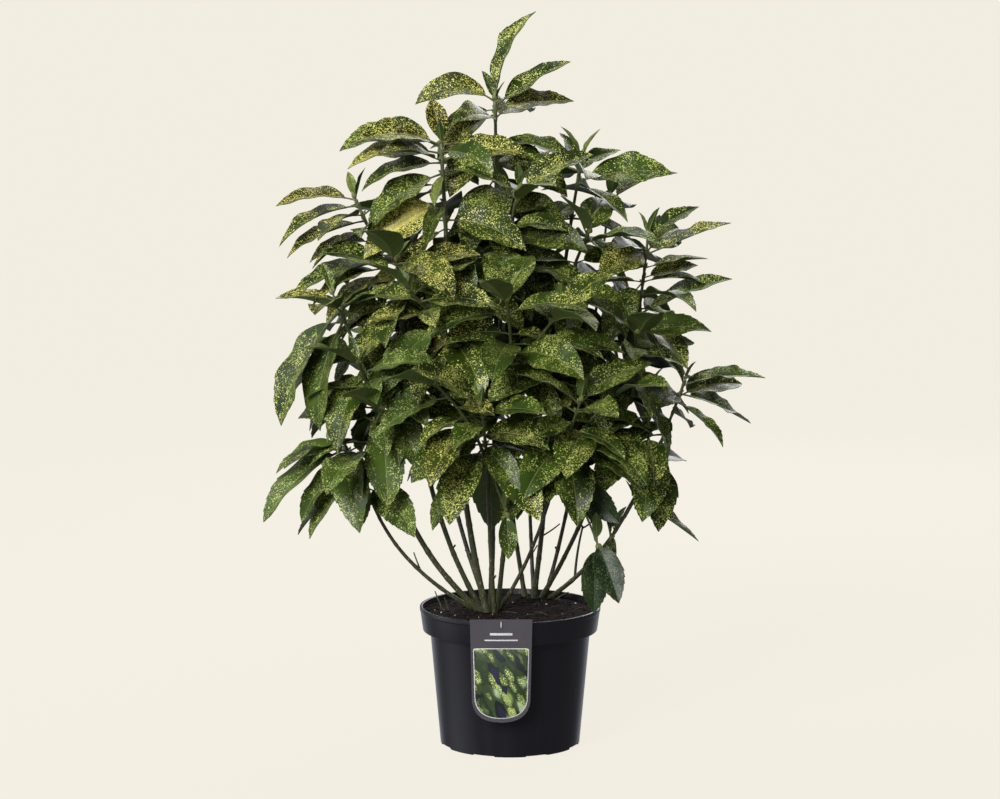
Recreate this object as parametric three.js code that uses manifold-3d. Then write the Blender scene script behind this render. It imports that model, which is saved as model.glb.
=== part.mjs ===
// Spotted laurel: an evergreen shrub of several canes in a round nursery pot, with a hanging label.
// Millimetres, +Z up. The origin is the centre of the pot's flat underside, and -Y is the front.

import * as THREE from 'three';
import { mergeVertices } from 'three/addons/utils/BufferGeometryUtils.js';
import Module from 'manifold-3d';

const wasm = await Module();
wasm.setup();

// Pot
const POT_HEIGHT = 215;
const RIM_RADIUS = 140;
const RIM_LOWER_RADIUS = 135;
const RIM_BAND = 37;
const BODY_TOP_RADIUS = 124;
const FOOT_RADIUS = 108;
const LEDGE = POT_HEIGHT - RIM_BAND;
const WALL = 2.4;
const RIM_WALL = 4.4;
const RIM_TOP = 6;
const RIM_EDGE = 1;
const FLOOR = 3;
const NOTCHES = 8;
const NOTCH_WIDTH = 34;
const NOTCH_RISE = 4;
const NOTCH_DEPTH = 1.4;
const ROUND_SEGMENTS = 44;

// Soil and label
const SOIL_LEVEL = 208;
const SOIL_GAP = 0.3;
const SOIL_FLARE = 3;
const LABEL_WIDTH = 94;
const LABEL_FOOT_WIDTH = 88;
const LABEL_HEIGHT = 158;
const LABEL_FOOT_RISE = 0.72;
const LABEL_FOOT_ROUND = 0.9;
const LABEL_THICKNESS = 1.2;
const LABEL_LEFT = -14;
const LABEL_RISE = 5.7;
const EYELET_RADIUS = 1.8;
const HOOK_RADIUS = 0.9;
const HOOK_BEND = 2.6;
const HOOK_INSET = 4;
const HOOK_FOOT = 1.6;
const HOOK_NOSE = 2;
const HOOK_DROP = 7;
const SEAT_GAP = 0.3;

// Canes and shoots
const CANE_SIDES = 6;
const CANE_STEPS = 6;
const SHOOT_SIDES = 4;
const SHOOT_STEPS = 4;
const CANE_FOOT_RADIUS = 5.4;
const CANE_TIP_RADIUS = 3.9;
const CANE_LEAN = 0.62;
const CANE_RISE = 0.42;
const SHOOT_FOOT_RADIUS = 3.9;
const SHOOT_TIP_RADIUS = 2.4;
const SHOOT_LEAN = 0.42;
const FORK_STEP = 0.06;
const FORK_SLIMMING = 0.5;
const MEET_GAP = 0.3;

// Leaves. A blade is widest at one share of its length and a little narrower at the next.
const LEAF_WIDTH_RATIO = 0.43;
const LEAF_THICKNESS = 2.4;
const LEAF_FOLD = 17;
const BLADE_WIDEST_AT = 0.34;
const BLADE_SHOULDER_AT = 0.7;
const BLADE_SHOULDER = 0.74;
const PETIOLE_SHARE = 0.13;
const PETIOLE_HALF = 1.8;
const ROOT_SINK = 2;
const CLEARANCE = 0.9;

// Pairs of leaves sit this far below the tip of a shoot: the newest flush, then the older ones. A shoot
// is bare at its foot, and a shoot with this many posed leaves has no other newest pair.
const PAIR_DEPTHS = [8, 26, 86, 106, 130, 204, 228, 304];
const BARE_FOOT = 24;
const NEWEST_POSED = 4;
const PAIR_TURN = 90;
const AZIMUTH_JITTER = 36;
// How a leaf changes from the newest to the oldest, in the shade low in the crown, and by chance.
const OLD_DEPTH = 130;
const SHADE_BELOW = 640;
const SHADE_DEPTH = 300;
const RISE = { young: 57, old: -8, shade: -14, jitter: 20 };
const BEND = { young: 24, old: 52, shade: 0, jitter: 18 };
const LENGTH = { young: 116, old: 142, shade: 8, jitter: 26 };
// The faces of the leaves turn away from this line up the middle of the crown.
const CROWN_BACK = new THREE.Vector2(0, 90);
const FACE_TURN = 34;
const ROLL_JITTER = 24;
// A leaf that finds its place taken turns and dips by these steps, in degrees, until one is free.
const TURNS = [
  [0, 0], [12, -6], [-12, 6], [24, -12], [-24, 10], [8, -24], [-8, 22], [38, -10], [-38, -10],
];

// Each cane: where it leaves the soil, where its foliage starts, and the tips of its leading shoots.
// A posed leaf is [azimuth, rise, bend, length, depth below the tip, roll], in degrees and
// millimetres. Where no roll is given, the leaf faces out of the crown. A shoot may have a longer
// bare foot. A cane's girth scales its radii and those of its shoots.
const CANES = [
  {
    base: [-56, 2], top: [-206, -42, 372], lean: 0.74, girth: 0.72,
    leaders: [
      { tip: [-260, -45, 488], phase: 50, posed: [
        [178, -14, 24, 116, 8], [183, -24, 32, 174, 20], [203, -33, 34, 128, 34], [204, -34, 30, 128, 60],
        [324, -22, 40, 160, 12], [262, -46, 26, 96, 48]] },
      { tip: [-190, -134, 540], phase: 70, bare: 110, posed: [] },
    ],
  },
  {
    base: [-48, -12], top: [-192, -62, 480], lean: 0.8, girth: 1,
    leaders: [
      { tip: [-268, -70, 706], phase: 60, posed: [
        [180, 16, 26, 92, 10], [186, -46, 30, 200, 24], [222, -50, 46, 178, 38], [190, -16, 46, 140, 96],
        [232, -30, 40, 150, 110]] },
      { tip: [-226, -150, 610], phase: 55, posed: [] },
    ],
  },
  {
    base: [-46, 12], top: [-150, 0, 560], lean: 0.8, girth: 0.9,
    leaders: [
      { tip: [-236, -20, 848], phase: 30, posed: [
        [176, 14, 34, 126, 4], [185, -4, 44, 140, 12], [190, -8, 32, 134, 34], [198, -16, 30, 108, 48],
        [188, -4, 34, 150, 96], [204, -20, 34, 128, 112]] },
      { tip: [-170, -112, 760], phase: 80, posed: [[310, 12, 58, 150, 8]] },
    ],
  },
  {
    base: [-36, -20], top: [-84, -58, 560], lean: 0.75, girth: 1.1,
    leaders: [
      { tip: [-104, -60, 934], phase: 0, posed: [
        [112, 66, 14, 80, 4, 0], [176, 30, 62, 164, 8], [165, 38, 46, 142, 6], [182, 14, 44, 148, 16],
        [190, 2, 40, 132, 28], [186, 8, 38, 146, 42], [318, 12, 62, 112, 14], [206, -24, 32, 152, 80, -52],
        [270, -60, 20, 60, 40]] },
      { tip: [-150, -156, 716], phase: 40, posed: [] },
    ],
  },
  {
    base: [-30, 4], top: [-22, 2, 620], girth: 0.95,
    leaders: [
      { tip: [-23, 0, 996], phase: 60, posed: [
        [12, 88, 44, 154, 3, 10], [348, 35, 8, 134, 8], [8, 12, 12, 122, 12], [180, 38, 80, 132, 4],
        [200, -4, 30, 96, 14], [190, -20, 34, 114, 20], [215, -24, 40, 124, 54]] },
      { tip: [14, -96, 866], phase: 10, bare: 90, posed: [] },
    ],
  },
  {
    base: [38, 92], top: [70, 42, 590], girth: 0.9,
    leaders: [
      { tip: [110, 26, 908], phase: 100, posed: [
        [356, 18, 26, 148, 34, 34], [135, 50, 12, 64, 8], [184, 32, 30, 128, 10], [182, 20, 30, 140, 20],
        [30, 26, 16, 76, 12], [322, -12, 30, 112, 40]] },
      { tip: [118, -84, 800], phase: 60, posed: [] },
    ],
  },
  {
    base: [50, 100], top: [166, 14, 510], girth: 0.8,
    leaders: [
      { tip: [210, -10, 792], phase: 55, posed: [
        [16, 40, 20, 96, 6], [0, 25, 6, 138, 28], [350, 16, 12, 98, 46], [18, 16, 10, 92, 60],
        [0, 30, 16, 154, 114], [312, 0, 20, 92, 104], [222, 6, 26, 132, 24, -40],
        [204, -16, 24, 118, 66, -46]] },
      { tip: [190, -104, 650], phase: 35, posed: [] },
    ],
  },
  {
    base: [62, 92], top: [176, 14, 350], girth: 0.8,
    leaders: [
      { tip: [268, -20, 572], phase: 60, bare: 170, posed: [
        [0, 19, 26, 128, 10], [20, -14, 16, 130, 22], [322, -20, 30, 108, 34], [66, -10, 24, 90, 50],
        [190, 0, 40, 140, 84], [236, -26, 40, 142, 98], [262, -24, 40, 130, 112], [112, 0, 40, 130, 124],
        [60, 10, 30, 110, 130]] },
      { tip: [206, -84, 560], phase: 80, bare: 210, posed: [
        [84, 30, 30, 120, 8], [262, 16, 50, 150, 12], [190, -8, 44, 146, 40], [312, -14, 24, 112, 72],
        [226, -30, 40, 140, 60]] },
      { tip: [196, 28, 364], phase: 60, posed: [[352, -18, 20, 114, 6]] },
      { tip: [156, -70, 338], phase: 60, bare: 200, posed: [[200, -74, 12, 80, 4]] },
    ],
  },
  {
    base: [-24, -30], top: [-34, -96, 420], girth: 0.8,
    leaders: [
      { tip: [-44, -190, 552], phase: 30, bare: 60, posed: [[200, -30, 34, 132, 128]] },
      { tip: [-112, -164, 580], phase: 75, posed: [] },
      { tip: [-6, -112, 378], phase: 0, bare: 200, posed: [[300, -78, 10, 74, 2]] },
    ],
  },
  {
    base: [-16, 4], top: [62, -62, 400], girth: 0.68,
    leaders: [
      { tip: [104, -166, 556], phase: 15, posed: [] },
      { tip: [172, -112, 574], phase: 50, posed: [] },
      { tip: [132, -112, 330], phase: 0, bare: 300, posed: [
        [252, -70, 16, 108, 2], [318, -60, 8, 106, 5, 30], [350, -30, 24, 104, 80, 60]] },
    ],
  },
  {
    base: [-20, -14], top: [2, -62, 500], girth: 0.85,
    leaders: [
      { tip: [-6, -190, 706], phase: 65, posed: [] },
      { tip: [74, -178, 690], phase: 20, posed: [] },
    ],
  },
  {
    base: [-36, 24], top: [-116, 84, 500], girth: 0.8,
    leaders: [
      { tip: [-150, 130, 800], phase: 35, posed: [] },
      { tip: [-236, 110, 640], phase: 0, bare: 90, posed: [] },
      { tip: [-186, 190, 540], phase: 50, bare: 90, posed: [] },
    ],
  },
  {
    base: [24, 106], top: [-14, 118, 520], girth: 0.8,
    leaders: [
      { tip: [20, 150, 880], phase: 70, posed: [] },
      { tip: [-56, 214, 690], phase: 25, bare: 90, posed: [] },
    ],
  },
  {
    base: [56, 108], top: [112, 118, 480], girth: 0.72,
    leaders: [
      { tip: [156, 128, 842], phase: 15, posed: [] },
      { tip: [226, 120, 600], phase: 60, bare: 90, posed: [] },
    ],
  },
  {
    base: [38, 110], top: [30, 150, 400], girth: 0.72,
    leaders: [
      { tip: [96, 232, 560], phase: 40, posed: [] },
      { tip: [-50, 222, 520], phase: 5, bare: 90, posed: [] },
    ],
  },
];

const POT_COLOUR = 0x15161a;
const SOIL_COLOUR = 0x231a14;
const LABEL_COLOUR = 0x4a474c;
const HOOK_COLOUR = 0xd8d6cf;
const CANE_COLOUR = 0x4d5a38;
const FOLIAGE_COLOUR = 0x3f5a1c;

const radians = THREE.MathUtils.degToRad;
const UP = new THREE.Vector3(0, 0, 1);
const BACK = new THREE.Vector3(0, 1, 0);
const point = (place) => new THREE.Vector3(...place);

// A number from 0 to 1 that is always the same for the same shoot, leaf and purpose.
function chance(shoot, leaf, purpose) {
  const wave = Math.sin(shoot * 12.9898 + leaf * 78.233 + purpose * 37.719 + 4.1) * 43758.5453;
  return wave - Math.floor(wave);
}

function material(color, roughness) {
  return new THREE.MeshStandardMaterial({ color, roughness, metalness: 0 });
}

// The closed solid through rings of points. A first or last ring of one point closes to a tip, and
// the rings between have one count.
function loft(rings) {
  const count = rings[1].length;
  const positions = rings.flat().flatMap((place) => place.toArray());
  const index = [];
  let start = 0;
  rings.slice(1).forEach((ring, order) => {
    const before = rings[order].length;
    const next = start + before;
    for (let side = 0; side < count; side += 1) {
      const beside = (side + 1) % count;
      if (before > 1) index.push(start + side, start + beside, next + (ring.length > 1 ? beside : 0));
      if (ring.length > 1) index.push(start + (before > 1 ? side : 0), next + beside, next + side);
    }
    start = next;
  });
  for (let side = 1; side < count - 1; side += 1) {
    if (rings[0].length > 1) index.push(0, side + 1, side);
    if (rings.at(-1).length > 1) index.push(start, start + side, start + side + 1);
  }
  const geometry = new THREE.BufferGeometry();
  geometry.setAttribute('position', new THREE.Float32BufferAttribute(positions, 3));
  geometry.setIndex(index);
  return geometry;
}

function toSolid(geometry) {
  const bare = geometry.clone();
  bare.deleteAttribute('normal');
  bare.deleteAttribute('uv');
  const merged = mergeVertices(bare);
  const vertProperties = merged.getAttribute('position').array;
  const triVerts = new Uint32Array(merged.index.array);
  return new wasm.Manifold(new wasm.Mesh({ numProp: 3, vertProperties, triVerts }));
}

function toGeometry(solid) {
  const mesh = solid.getMesh();
  const geometry = new THREE.BufferGeometry();
  geometry.setAttribute('position', new THREE.BufferAttribute(mesh.vertProperties, 3));
  geometry.setIndex(new THREE.BufferAttribute(mesh.triVerts, 1));
  geometry.computeVertexNormals();
  return geometry;
}

function heading(curve, share) {
  const { v0, v1, v2 } = curve;
  return v1.clone().sub(v0).multiplyScalar(1 - share)
    .addScaledVector(v2.clone().sub(v1), share)
    .normalize();
}

// The length of a gently bent curve: the mean of its chord and of the way over its bend.
function lengthOf({ v0, v1, v2 }) {
  return (v0.distanceTo(v2) + v0.distanceTo(v1) + v1.distanceTo(v2)) / 2;
}

// A tapering limb round a curve. Its foot is cut level where the first direction given is up.
function limb(curve, footDirection, footRadius, tipRadius, sides, steps) {
  const rings = [];
  for (let step = 0; step <= steps; step += 1) {
    const share = step / steps;
    const along = step === 0 ? footDirection : heading(curve, share);
    const right = new THREE.Vector3().crossVectors(BACK, along).normalize();
    const back = new THREE.Vector3().crossVectors(along, right);
    const radius = THREE.MathUtils.lerp(footRadius, tipRadius, share);
    rings.push(Array.from({ length: sides }, (_, side) => {
      const turn = (2 * Math.PI * side) / sides;
      return curve.getPoint(share)
        .addScaledVector(right, radius * Math.cos(turn))
        .addScaledVector(back, radius * Math.sin(turn));
    }));
  }
  return loft(rings);
}

// The line of a cane: it leans out of the soil, then turns upwards.
function caneCurve({ base, top, lean = CANE_LEAN }) {
  const foot = point([...base, SOIL_LEVEL + MEET_GAP]);
  const end = point(top);
  const bend = foot.clone().lerp(end, lean);
  bend.z = THREE.MathUtils.lerp(foot.z, end.z, CANE_RISE);
  return new THREE.QuadraticBezierCurve3(foot, bend, end);
}

// The line of a leading shoot: it leaves its parent along the parent's own direction.
function leaderCurve(start, direction, tip) {
  const bend = start.clone().addScaledVector(direction, start.distanceTo(tip) * SHOOT_LEAN);
  return new THREE.QuadraticBezierCurve3(start, bend, tip);
}

// A place on a leaf's midrib, which bends down in an arc, with the directions along and across it.
function midrib(leaf, share) {
  const rise = radians(leaf.rise);
  const bend = radians(leaf.bend);
  const slope = rise - bend * share;
  const out = new THREE.Vector3(Math.cos(radians(leaf.azimuth)), Math.sin(radians(leaf.azimuth)), 0);
  const reach = (leaf.length * (Math.sin(rise) - Math.sin(slope))) / bend;
  const lift = (leaf.length * (Math.cos(slope) - Math.cos(rise))) / bend;
  const along = out.clone().multiplyScalar(Math.cos(slope)).addScaledVector(UP, Math.sin(slope));
  const level = new THREE.Vector3(-out.y, out.x, 0);
  const face = new THREE.Vector3().crossVectors(along, level);
  const roll = radians(leaf.roll);
  return {
    centre: leaf.root.clone().addScaledVector(out, reach).addScaledVector(UP, lift),
    across: level.clone().multiplyScalar(Math.cos(roll)).addScaledVector(face, Math.sin(roll)),
    face: face.clone().multiplyScalar(Math.cos(roll)).addScaledVector(level, -Math.sin(roll)),
  };
}

// One leaf as a thin closed solid: a petiole and a folded blade that narrows to a point. The margin
// makes it stouter all round.
function leafGeometry(leaf, margin, hasPetiole) {
  const half = (leaf.length * LEAF_WIDTH_RATIO) / 2;
  const stations = [
    [0, PETIOLE_HALF, PETIOLE_HALF, 0],
    [BLADE_WIDEST_AT, half, LEAF_THICKNESS / 2, radians(LEAF_FOLD)],
    [BLADE_SHOULDER_AT, half * BLADE_SHOULDER, LEAF_THICKNESS / 2, radians(LEAF_FOLD)],
  ];
  const rings = stations.map(([bladeShare, halfWidth, halfThickness, fold]) => {
    const share = THREE.MathUtils.lerp(PETIOLE_SHARE, 1, bladeShare);
    const { centre, across, face } = midrib(leaf, share);
    const wide = (halfWidth + margin) * Math.cos(fold);
    const high = (halfWidth + margin) * Math.sin(fold);
    const thick = halfThickness + margin;
    return [
      centre.clone().addScaledVector(across, wide).addScaledVector(face, high),
      centre.clone().addScaledVector(face, thick),
      centre.clone().addScaledVector(across, -wide).addScaledVector(face, high),
      centre.clone().addScaledVector(face, -thick),
    ];
  });
  rings.push([midrib(leaf, 1 + margin / leaf.length).centre]);
  if (hasPetiole) rings.unshift([midrib(leaf, -ROOT_SINK / leaf.length).centre]);
  return loft(rings);
}

// The roll that turns a leaf's upper face out of the crown, towards the light.
function outwardRoll(root, azimuth) {
  const out = new THREE.Vector2(root.x, root.y).sub(CROWN_BACK).normalize();
  const level = new THREE.Vector2(-Math.sin(radians(azimuth)), Math.cos(radians(azimuth)));
  return -FACE_TURN * out.dot(level);
}

// The leaves that a shoot wants, from its tip down: those posed by hand, then opposite pairs.
function wantedLeaves(leader, shoot, curve) {
  const length = lengthOf(curve);
  const at = (depth) => curve.getPoint(1 - depth / length);
  const leaves = leader.posed.map(([azimuth, rise, bend, leafLength, depth, roll]) => ({
    root: at(depth), azimuth, rise, bend, length: leafLength,
    roll: roll ?? outwardRoll(at(depth), azimuth),
  }));
  const { bare = BARE_FOOT } = leader;
  const depths = PAIR_DEPTHS.slice(leader.posed.length >= NEWEST_POSED ? 1 : 0);
  depths.filter((depth) => depth < length - bare).forEach((depth, pair) => {
    const root = at(depth);
    const age = Math.min(depth / OLD_DEPTH, 1) ** 0.5;
    const shade = Math.max(0, (SHADE_BELOW - root.z) / SHADE_DEPTH);
    [0, 1].forEach((side) => {
      const jitter = (purpose) => chance(shoot, pair * 2 + side, purpose) - 0.5;
      const grown = ({ young, old, shade: dim, jitter: spread }, purpose) => (
        THREE.MathUtils.lerp(young, old, age) + dim * shade + spread * jitter(purpose)
      );
      const azimuth = leader.phase + pair * PAIR_TURN + side * 180 + jitter(1) * AZIMUTH_JITTER;
      leaves.push({
        root,
        azimuth,
        rise: grown(RISE, 2),
        bend: grown(BEND, 3),
        length: grown(LENGTH, 4),
        roll: outwardRoll(root, azimuth) + jitter(5) * ROLL_JITTER,
      });
    });
  });
  return leaves;
}

function boxesMeet(a, b) {
  return [0, 1, 2].every((axis) => a.min[axis] < b.max[axis] && b.min[axis] < a.max[axis]);
}

// What is already placed, each with the cane that it grows on. A leaf also keeps its bare blade,
// because leaves of one cane may touch at their petioles and nowhere else.
const placed = [];

function place(solid, cane, blade = solid) {
  placed.push({ solid, blade, cane, box: solid.boundingBox() });
}

function isFree(leaf, cane) {
  const whole = toSolid(leafGeometry(leaf, CLEARANCE, true));
  const blade = toSolid(leafGeometry(leaf, CLEARANCE, false));
  const box = whole.boundingBox();
  return placed.filter((other) => boxesMeet(box, other.box)).every((other) => {
    const sameCane = other.cane === cane;
    return (sameCane ? blade : whole).intersect(sameCane ? other.blade : other.solid).isEmpty();
  });
}

// A solid of revolution about +Z, from pairs of radius and height.
function turned(profile) {
  const outline = profile.map(([radius, height]) => new THREE.Vector2(radius, height));
  const geometry = new THREE.LatheGeometry(outline, ROUND_SEGMENTS);
  geometry.rotateX(Math.PI / 2);
  return geometry;
}

// The pot is one wall of revolution with a heavy rim, and shallow drain notches round its foot.
function potGeometry() {
  let pot = toSolid(turned([
    [0, 0], [FOOT_RADIUS, 0], [BODY_TOP_RADIUS, LEDGE], [RIM_LOWER_RADIUS, LEDGE],
    [RIM_RADIUS, POT_HEIGHT - RIM_TOP], [RIM_RADIUS, POT_HEIGHT - RIM_EDGE],
    [RIM_RADIUS - RIM_EDGE, POT_HEIGHT], [RIM_RADIUS - RIM_WALL, POT_HEIGHT],
    [RIM_LOWER_RADIUS - RIM_WALL, LEDGE + WALL], [BODY_TOP_RADIUS - WALL, LEDGE + WALL],
    [FOOT_RADIUS - WALL, FLOOR], [0, FLOOR],
  ]));
  for (let notch = 0; notch < NOTCHES; notch += 1) {
    const cutter = new THREE.BoxGeometry(NOTCH_DEPTH * 2, NOTCH_WIDTH, NOTCH_RISE * 2);
    cutter.translate(FOOT_RADIUS, 0, 0);
    cutter.rotateZ((2 * Math.PI * (notch + 0.5)) / NOTCHES);
    pot = pot.subtract(toSolid(cutter));
  }
  return toGeometry(pot);
}

// The soil fills the pot to just under its rim.
function soilGeometry() {
  const inside = WALL + SOIL_GAP;
  return turned([
    [0, FLOOR + SOIL_GAP], [FOOT_RADIUS - inside, FLOOR + SOIL_GAP],
    [BODY_TOP_RADIUS - inside, LEDGE + inside],
    [RIM_LOWER_RADIUS - RIM_WALL - SOIL_GAP, LEDGE + inside],
    [RIM_LOWER_RADIUS - RIM_WALL + SOIL_FLARE, SOIL_LEVEL], [0, SOIL_LEVEL],
  ]);
}

// The label's card stands against the front of the rim, and its hook lies on the rim's top.
const cardFace = -RIM_RADIUS - SEAT_GAP;
const labelTop = POT_HEIGHT + LABEL_RISE;
const hookHeight = POT_HEIGHT + HOOK_RADIUS + SEAT_GAP;

// The label is a card with a half-round foot.
function labelGeometry() {
  const half = LABEL_WIDTH / 2;
  const foot = LABEL_FOOT_WIDTH / 2;
  const outline = new THREE.Shape();
  outline.moveTo(-half, LABEL_HEIGHT);
  outline.lineTo(-foot, foot * LABEL_FOOT_RISE);
  outline.quadraticCurveTo(-foot * LABEL_FOOT_ROUND, 0, 0, 0);
  outline.quadraticCurveTo(foot * LABEL_FOOT_ROUND, 0, foot, foot * LABEL_FOOT_RISE);
  outline.lineTo(half, LABEL_HEIGHT);
  outline.closePath();
  const eyelet = new THREE.Path();
  const eyeletHeight = LABEL_HEIGHT - labelTop + hookHeight - SEAT_GAP;
  eyelet.absarc(0, eyeletHeight, EYELET_RADIUS, 0, 2 * Math.PI);
  outline.holes.push(eyelet);
  const card = new THREE.ExtrudeGeometry(outline, {
    depth: LABEL_THICKNESS, bevelEnabled: false, curveSegments: 8,
  });
  card.rotateX(Math.PI / 2);
  return card;
}

// The hook is a short bent wire: from inside the pot over its rim and through the label's eyelet.
function hookGeometry() {
  const inside = -RIM_RADIUS + RIM_WALL + HOOK_INSET;
  const front = cardFace - LABEL_THICKNESS - HOOK_RADIUS - 2 * SEAT_GAP;
  const line = new THREE.CatmullRomCurve3([
    new THREE.Vector3(0, inside, SOIL_LEVEL + HOOK_FOOT),
    new THREE.Vector3(0, inside, hookHeight - HOOK_BEND),
    new THREE.Vector3(0, inside - HOOK_BEND, hookHeight),
    new THREE.Vector3(0, front + HOOK_NOSE, hookHeight),
    new THREE.Vector3(0, front, hookHeight - HOOK_NOSE),
    new THREE.Vector3(0, front, hookHeight - HOOK_DROP),
  ]);
  const section = new THREE.Shape();
  section.absarc(0, 0, HOOK_RADIUS, 0, 2 * Math.PI);
  return new THREE.ExtrudeGeometry(section, { steps: 14, curveSegments: 2, extrudePath: line });
}

const plant = new THREE.Group();
plant.name = 'potted_spotted_laurel';

function addNode(parent, name, geometry, finish) {
  const node = new THREE.Mesh(geometry, finish);
  node.name = name;
  parent.add(node);
  return node;
}

const pot = potGeometry();
const soil = soilGeometry();
addNode(plant, 'pot', pot, material(POT_COLOUR, 0.42));
addNode(plant, 'potting_soil', soil, material(SOIL_COLOUR, 0.95));
place(toSolid(pot), 'pot');
place(toSolid(soil), 'pot');

const label = addNode(plant, 'plant_label', labelGeometry(), material(LABEL_COLOUR, 0.45));
label.position.set(LABEL_LEFT, cardFace, labelTop - LABEL_HEIGHT);
const hook = addNode(plant, 'label_hook', hookGeometry(), material(HOOK_COLOUR, 0.3));
hook.position.x = LABEL_LEFT;

const canes = new THREE.Group();
const foliage = new THREE.Group();
plant.add(canes, foliage);
const caneFinish = material(CANE_COLOUR, 0.6);
const foliageFinish = material(FOLIAGE_COLOUR, 0.35);
const numbered = (name, order) => `${name}_${String(order + 1).padStart(2, '0')}`;

// Every limb is placed before the first leaf, so that no leaf takes a limb's room.
let shoots = 0;
const growth = CANES.map((cane, order) => {
  const curve = caneCurve(cane);
  const { girth } = cane;
  const body = limb(
    curve, UP, CANE_FOOT_RADIUS * girth, CANE_TIP_RADIUS * girth, CANE_SIDES, CANE_STEPS,
  );
  place(toSolid(body), order);
  addNode(canes, numbered('cane', order), body, caneFinish);
  const direction = heading(curve, 1);
  const start = curve.getPoint(1).addScaledVector(direction, MEET_GAP);
  const stem = leaderCurve(start, direction, point(cane.leaders[0].tip));
  const leaders = cane.leaders.map((leader, rank) => {
    shoots += 1;
    const fork = FORK_STEP * rank;
    const forkDirection = heading(stem, fork);
    const line = rank === 0 ? stem : leaderCurve(stem.getPoint(fork), forkDirection, point(leader.tip));
    const footRadius = (SHOOT_FOOT_RADIUS - FORK_SLIMMING * rank) * girth;
    const tipRadius = SHOOT_TIP_RADIUS * girth;
    const twig = toSolid(limb(line, forkDirection, footRadius, tipRadius, SHOOT_SIDES, SHOOT_STEPS));
    place(twig, order);
    return { leader, line, twig, shoot: shoots };
  });
  return { order, leaders };
});

growth.forEach(({ order, leaders }) => {
  const parts = leaders.map(({ twig }) => twig);
  leaders.forEach(({ leader, line, shoot }) => {
    wantedLeaves(leader, shoot, line).forEach((wanted) => {
      const pose = TURNS
        .map(([turn, dip]) => ({ ...wanted, azimuth: wanted.azimuth + turn, rise: wanted.rise + dip }))
        .find((candidate) => isFree(candidate, order));
      if (!pose) return;
      const leaf = toSolid(leafGeometry(pose, 0, true));
      place(leaf, order, toSolid(leafGeometry(pose, 0, false)));
      parts.push(leaf);
    });
  });
  const mass = toGeometry(wasm.Manifold.union(parts));
  addNode(foliage, numbered('foliage', order), mass, foliageFinish);
});

export default plant;
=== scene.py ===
"""A spotted laurel in its nursery pot: toothed, speckled leaves on twigs and barked canes, potting
soil with its grains, a black pot and a hanging label. Sizes are in millimetres until a mesh is made."""

import math

import bmesh
import bpy
import numpy as np
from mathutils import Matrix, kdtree


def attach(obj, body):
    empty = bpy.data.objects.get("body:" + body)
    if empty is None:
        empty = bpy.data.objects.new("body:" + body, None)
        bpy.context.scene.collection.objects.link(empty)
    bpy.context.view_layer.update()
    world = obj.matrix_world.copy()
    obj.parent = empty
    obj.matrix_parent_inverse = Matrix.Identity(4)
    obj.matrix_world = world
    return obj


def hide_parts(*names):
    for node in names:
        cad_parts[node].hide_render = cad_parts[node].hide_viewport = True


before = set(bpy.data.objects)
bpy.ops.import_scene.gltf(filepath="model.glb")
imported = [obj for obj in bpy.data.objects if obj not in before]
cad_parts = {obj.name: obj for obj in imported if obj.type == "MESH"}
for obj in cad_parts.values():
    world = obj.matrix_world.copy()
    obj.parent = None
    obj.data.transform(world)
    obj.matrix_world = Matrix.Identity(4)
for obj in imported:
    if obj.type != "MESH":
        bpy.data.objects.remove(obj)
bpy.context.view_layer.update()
MM = 0.001

# Camera, floor and light

CAMERA_PLACE = (-0.0157, -4.5, 1.1055)
CAMERA_PITCH = 7.21
CAMERA_LENS = 106.3
BACKGROUND = (0.888, 0.847, 0.753)
FILL = 0.45
SHINE = 0.18
SIDE_SHINE = 1.0
SHINE_TINT = (0.78, 0.80, 0.90)
KEY = 3.9
KEY_FROM = (-1.9, -3.5, 2.1)
FLOOR_TONE = 0.04

scene = bpy.context.scene
scene.view_settings.view_transform = "Standard"

camera_data = bpy.data.cameras.new("camera")
camera_data.lens = CAMERA_LENS
camera_data.sensor_width = 36
camera = bpy.data.objects.new("camera", camera_data)
camera.location = CAMERA_PLACE
camera.rotation_euler = (math.radians(90 - CAMERA_PITCH), 0, 0)
scene.collection.objects.link(camera)
scene.camera = camera


def add_light(name, energy, place, aim, size, tall=None):
    """A light at a place, turned towards what it is aimed at: a far sun whose size is an angle, or a
    panel if it has a width and a height."""
    data = bpy.data.lights.new(name, "AREA" if tall else "SUN")
    data.energy = energy
    if tall:
        data.shape = "RECTANGLE"
        data.size, data.size_y = size, tall
    else:
        data.angle = math.radians(size)
    lamp = bpy.data.objects.new(name, data)
    lamp.location = place
    direction = np.array(aim) - np.array(place)
    level = math.hypot(direction[0], direction[1])
    lamp.rotation_euler = (math.atan2(level, -direction[2]), 0,
                           math.atan2(direction[1], direction[0]) - math.pi / 2)
    scene.collection.objects.link(lamp)


add_light("key", KEY, KEY_FROM, (0, 0, 0), 32)
add_light("left_panel", 16, (-2.3, 0.35, 1.3), (0, 0, 0.6), 0.7, 1.4)
add_light("back_panel", 45, (0.9, 3.0, 1.9), (0, 0, 0.6), 1.8, 1.6)
add_light("top_panel", 16, (-0.4, 1.6, 2.9), (0, 0, 0.8), 1.6, 1.0)


# Finishes

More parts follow.
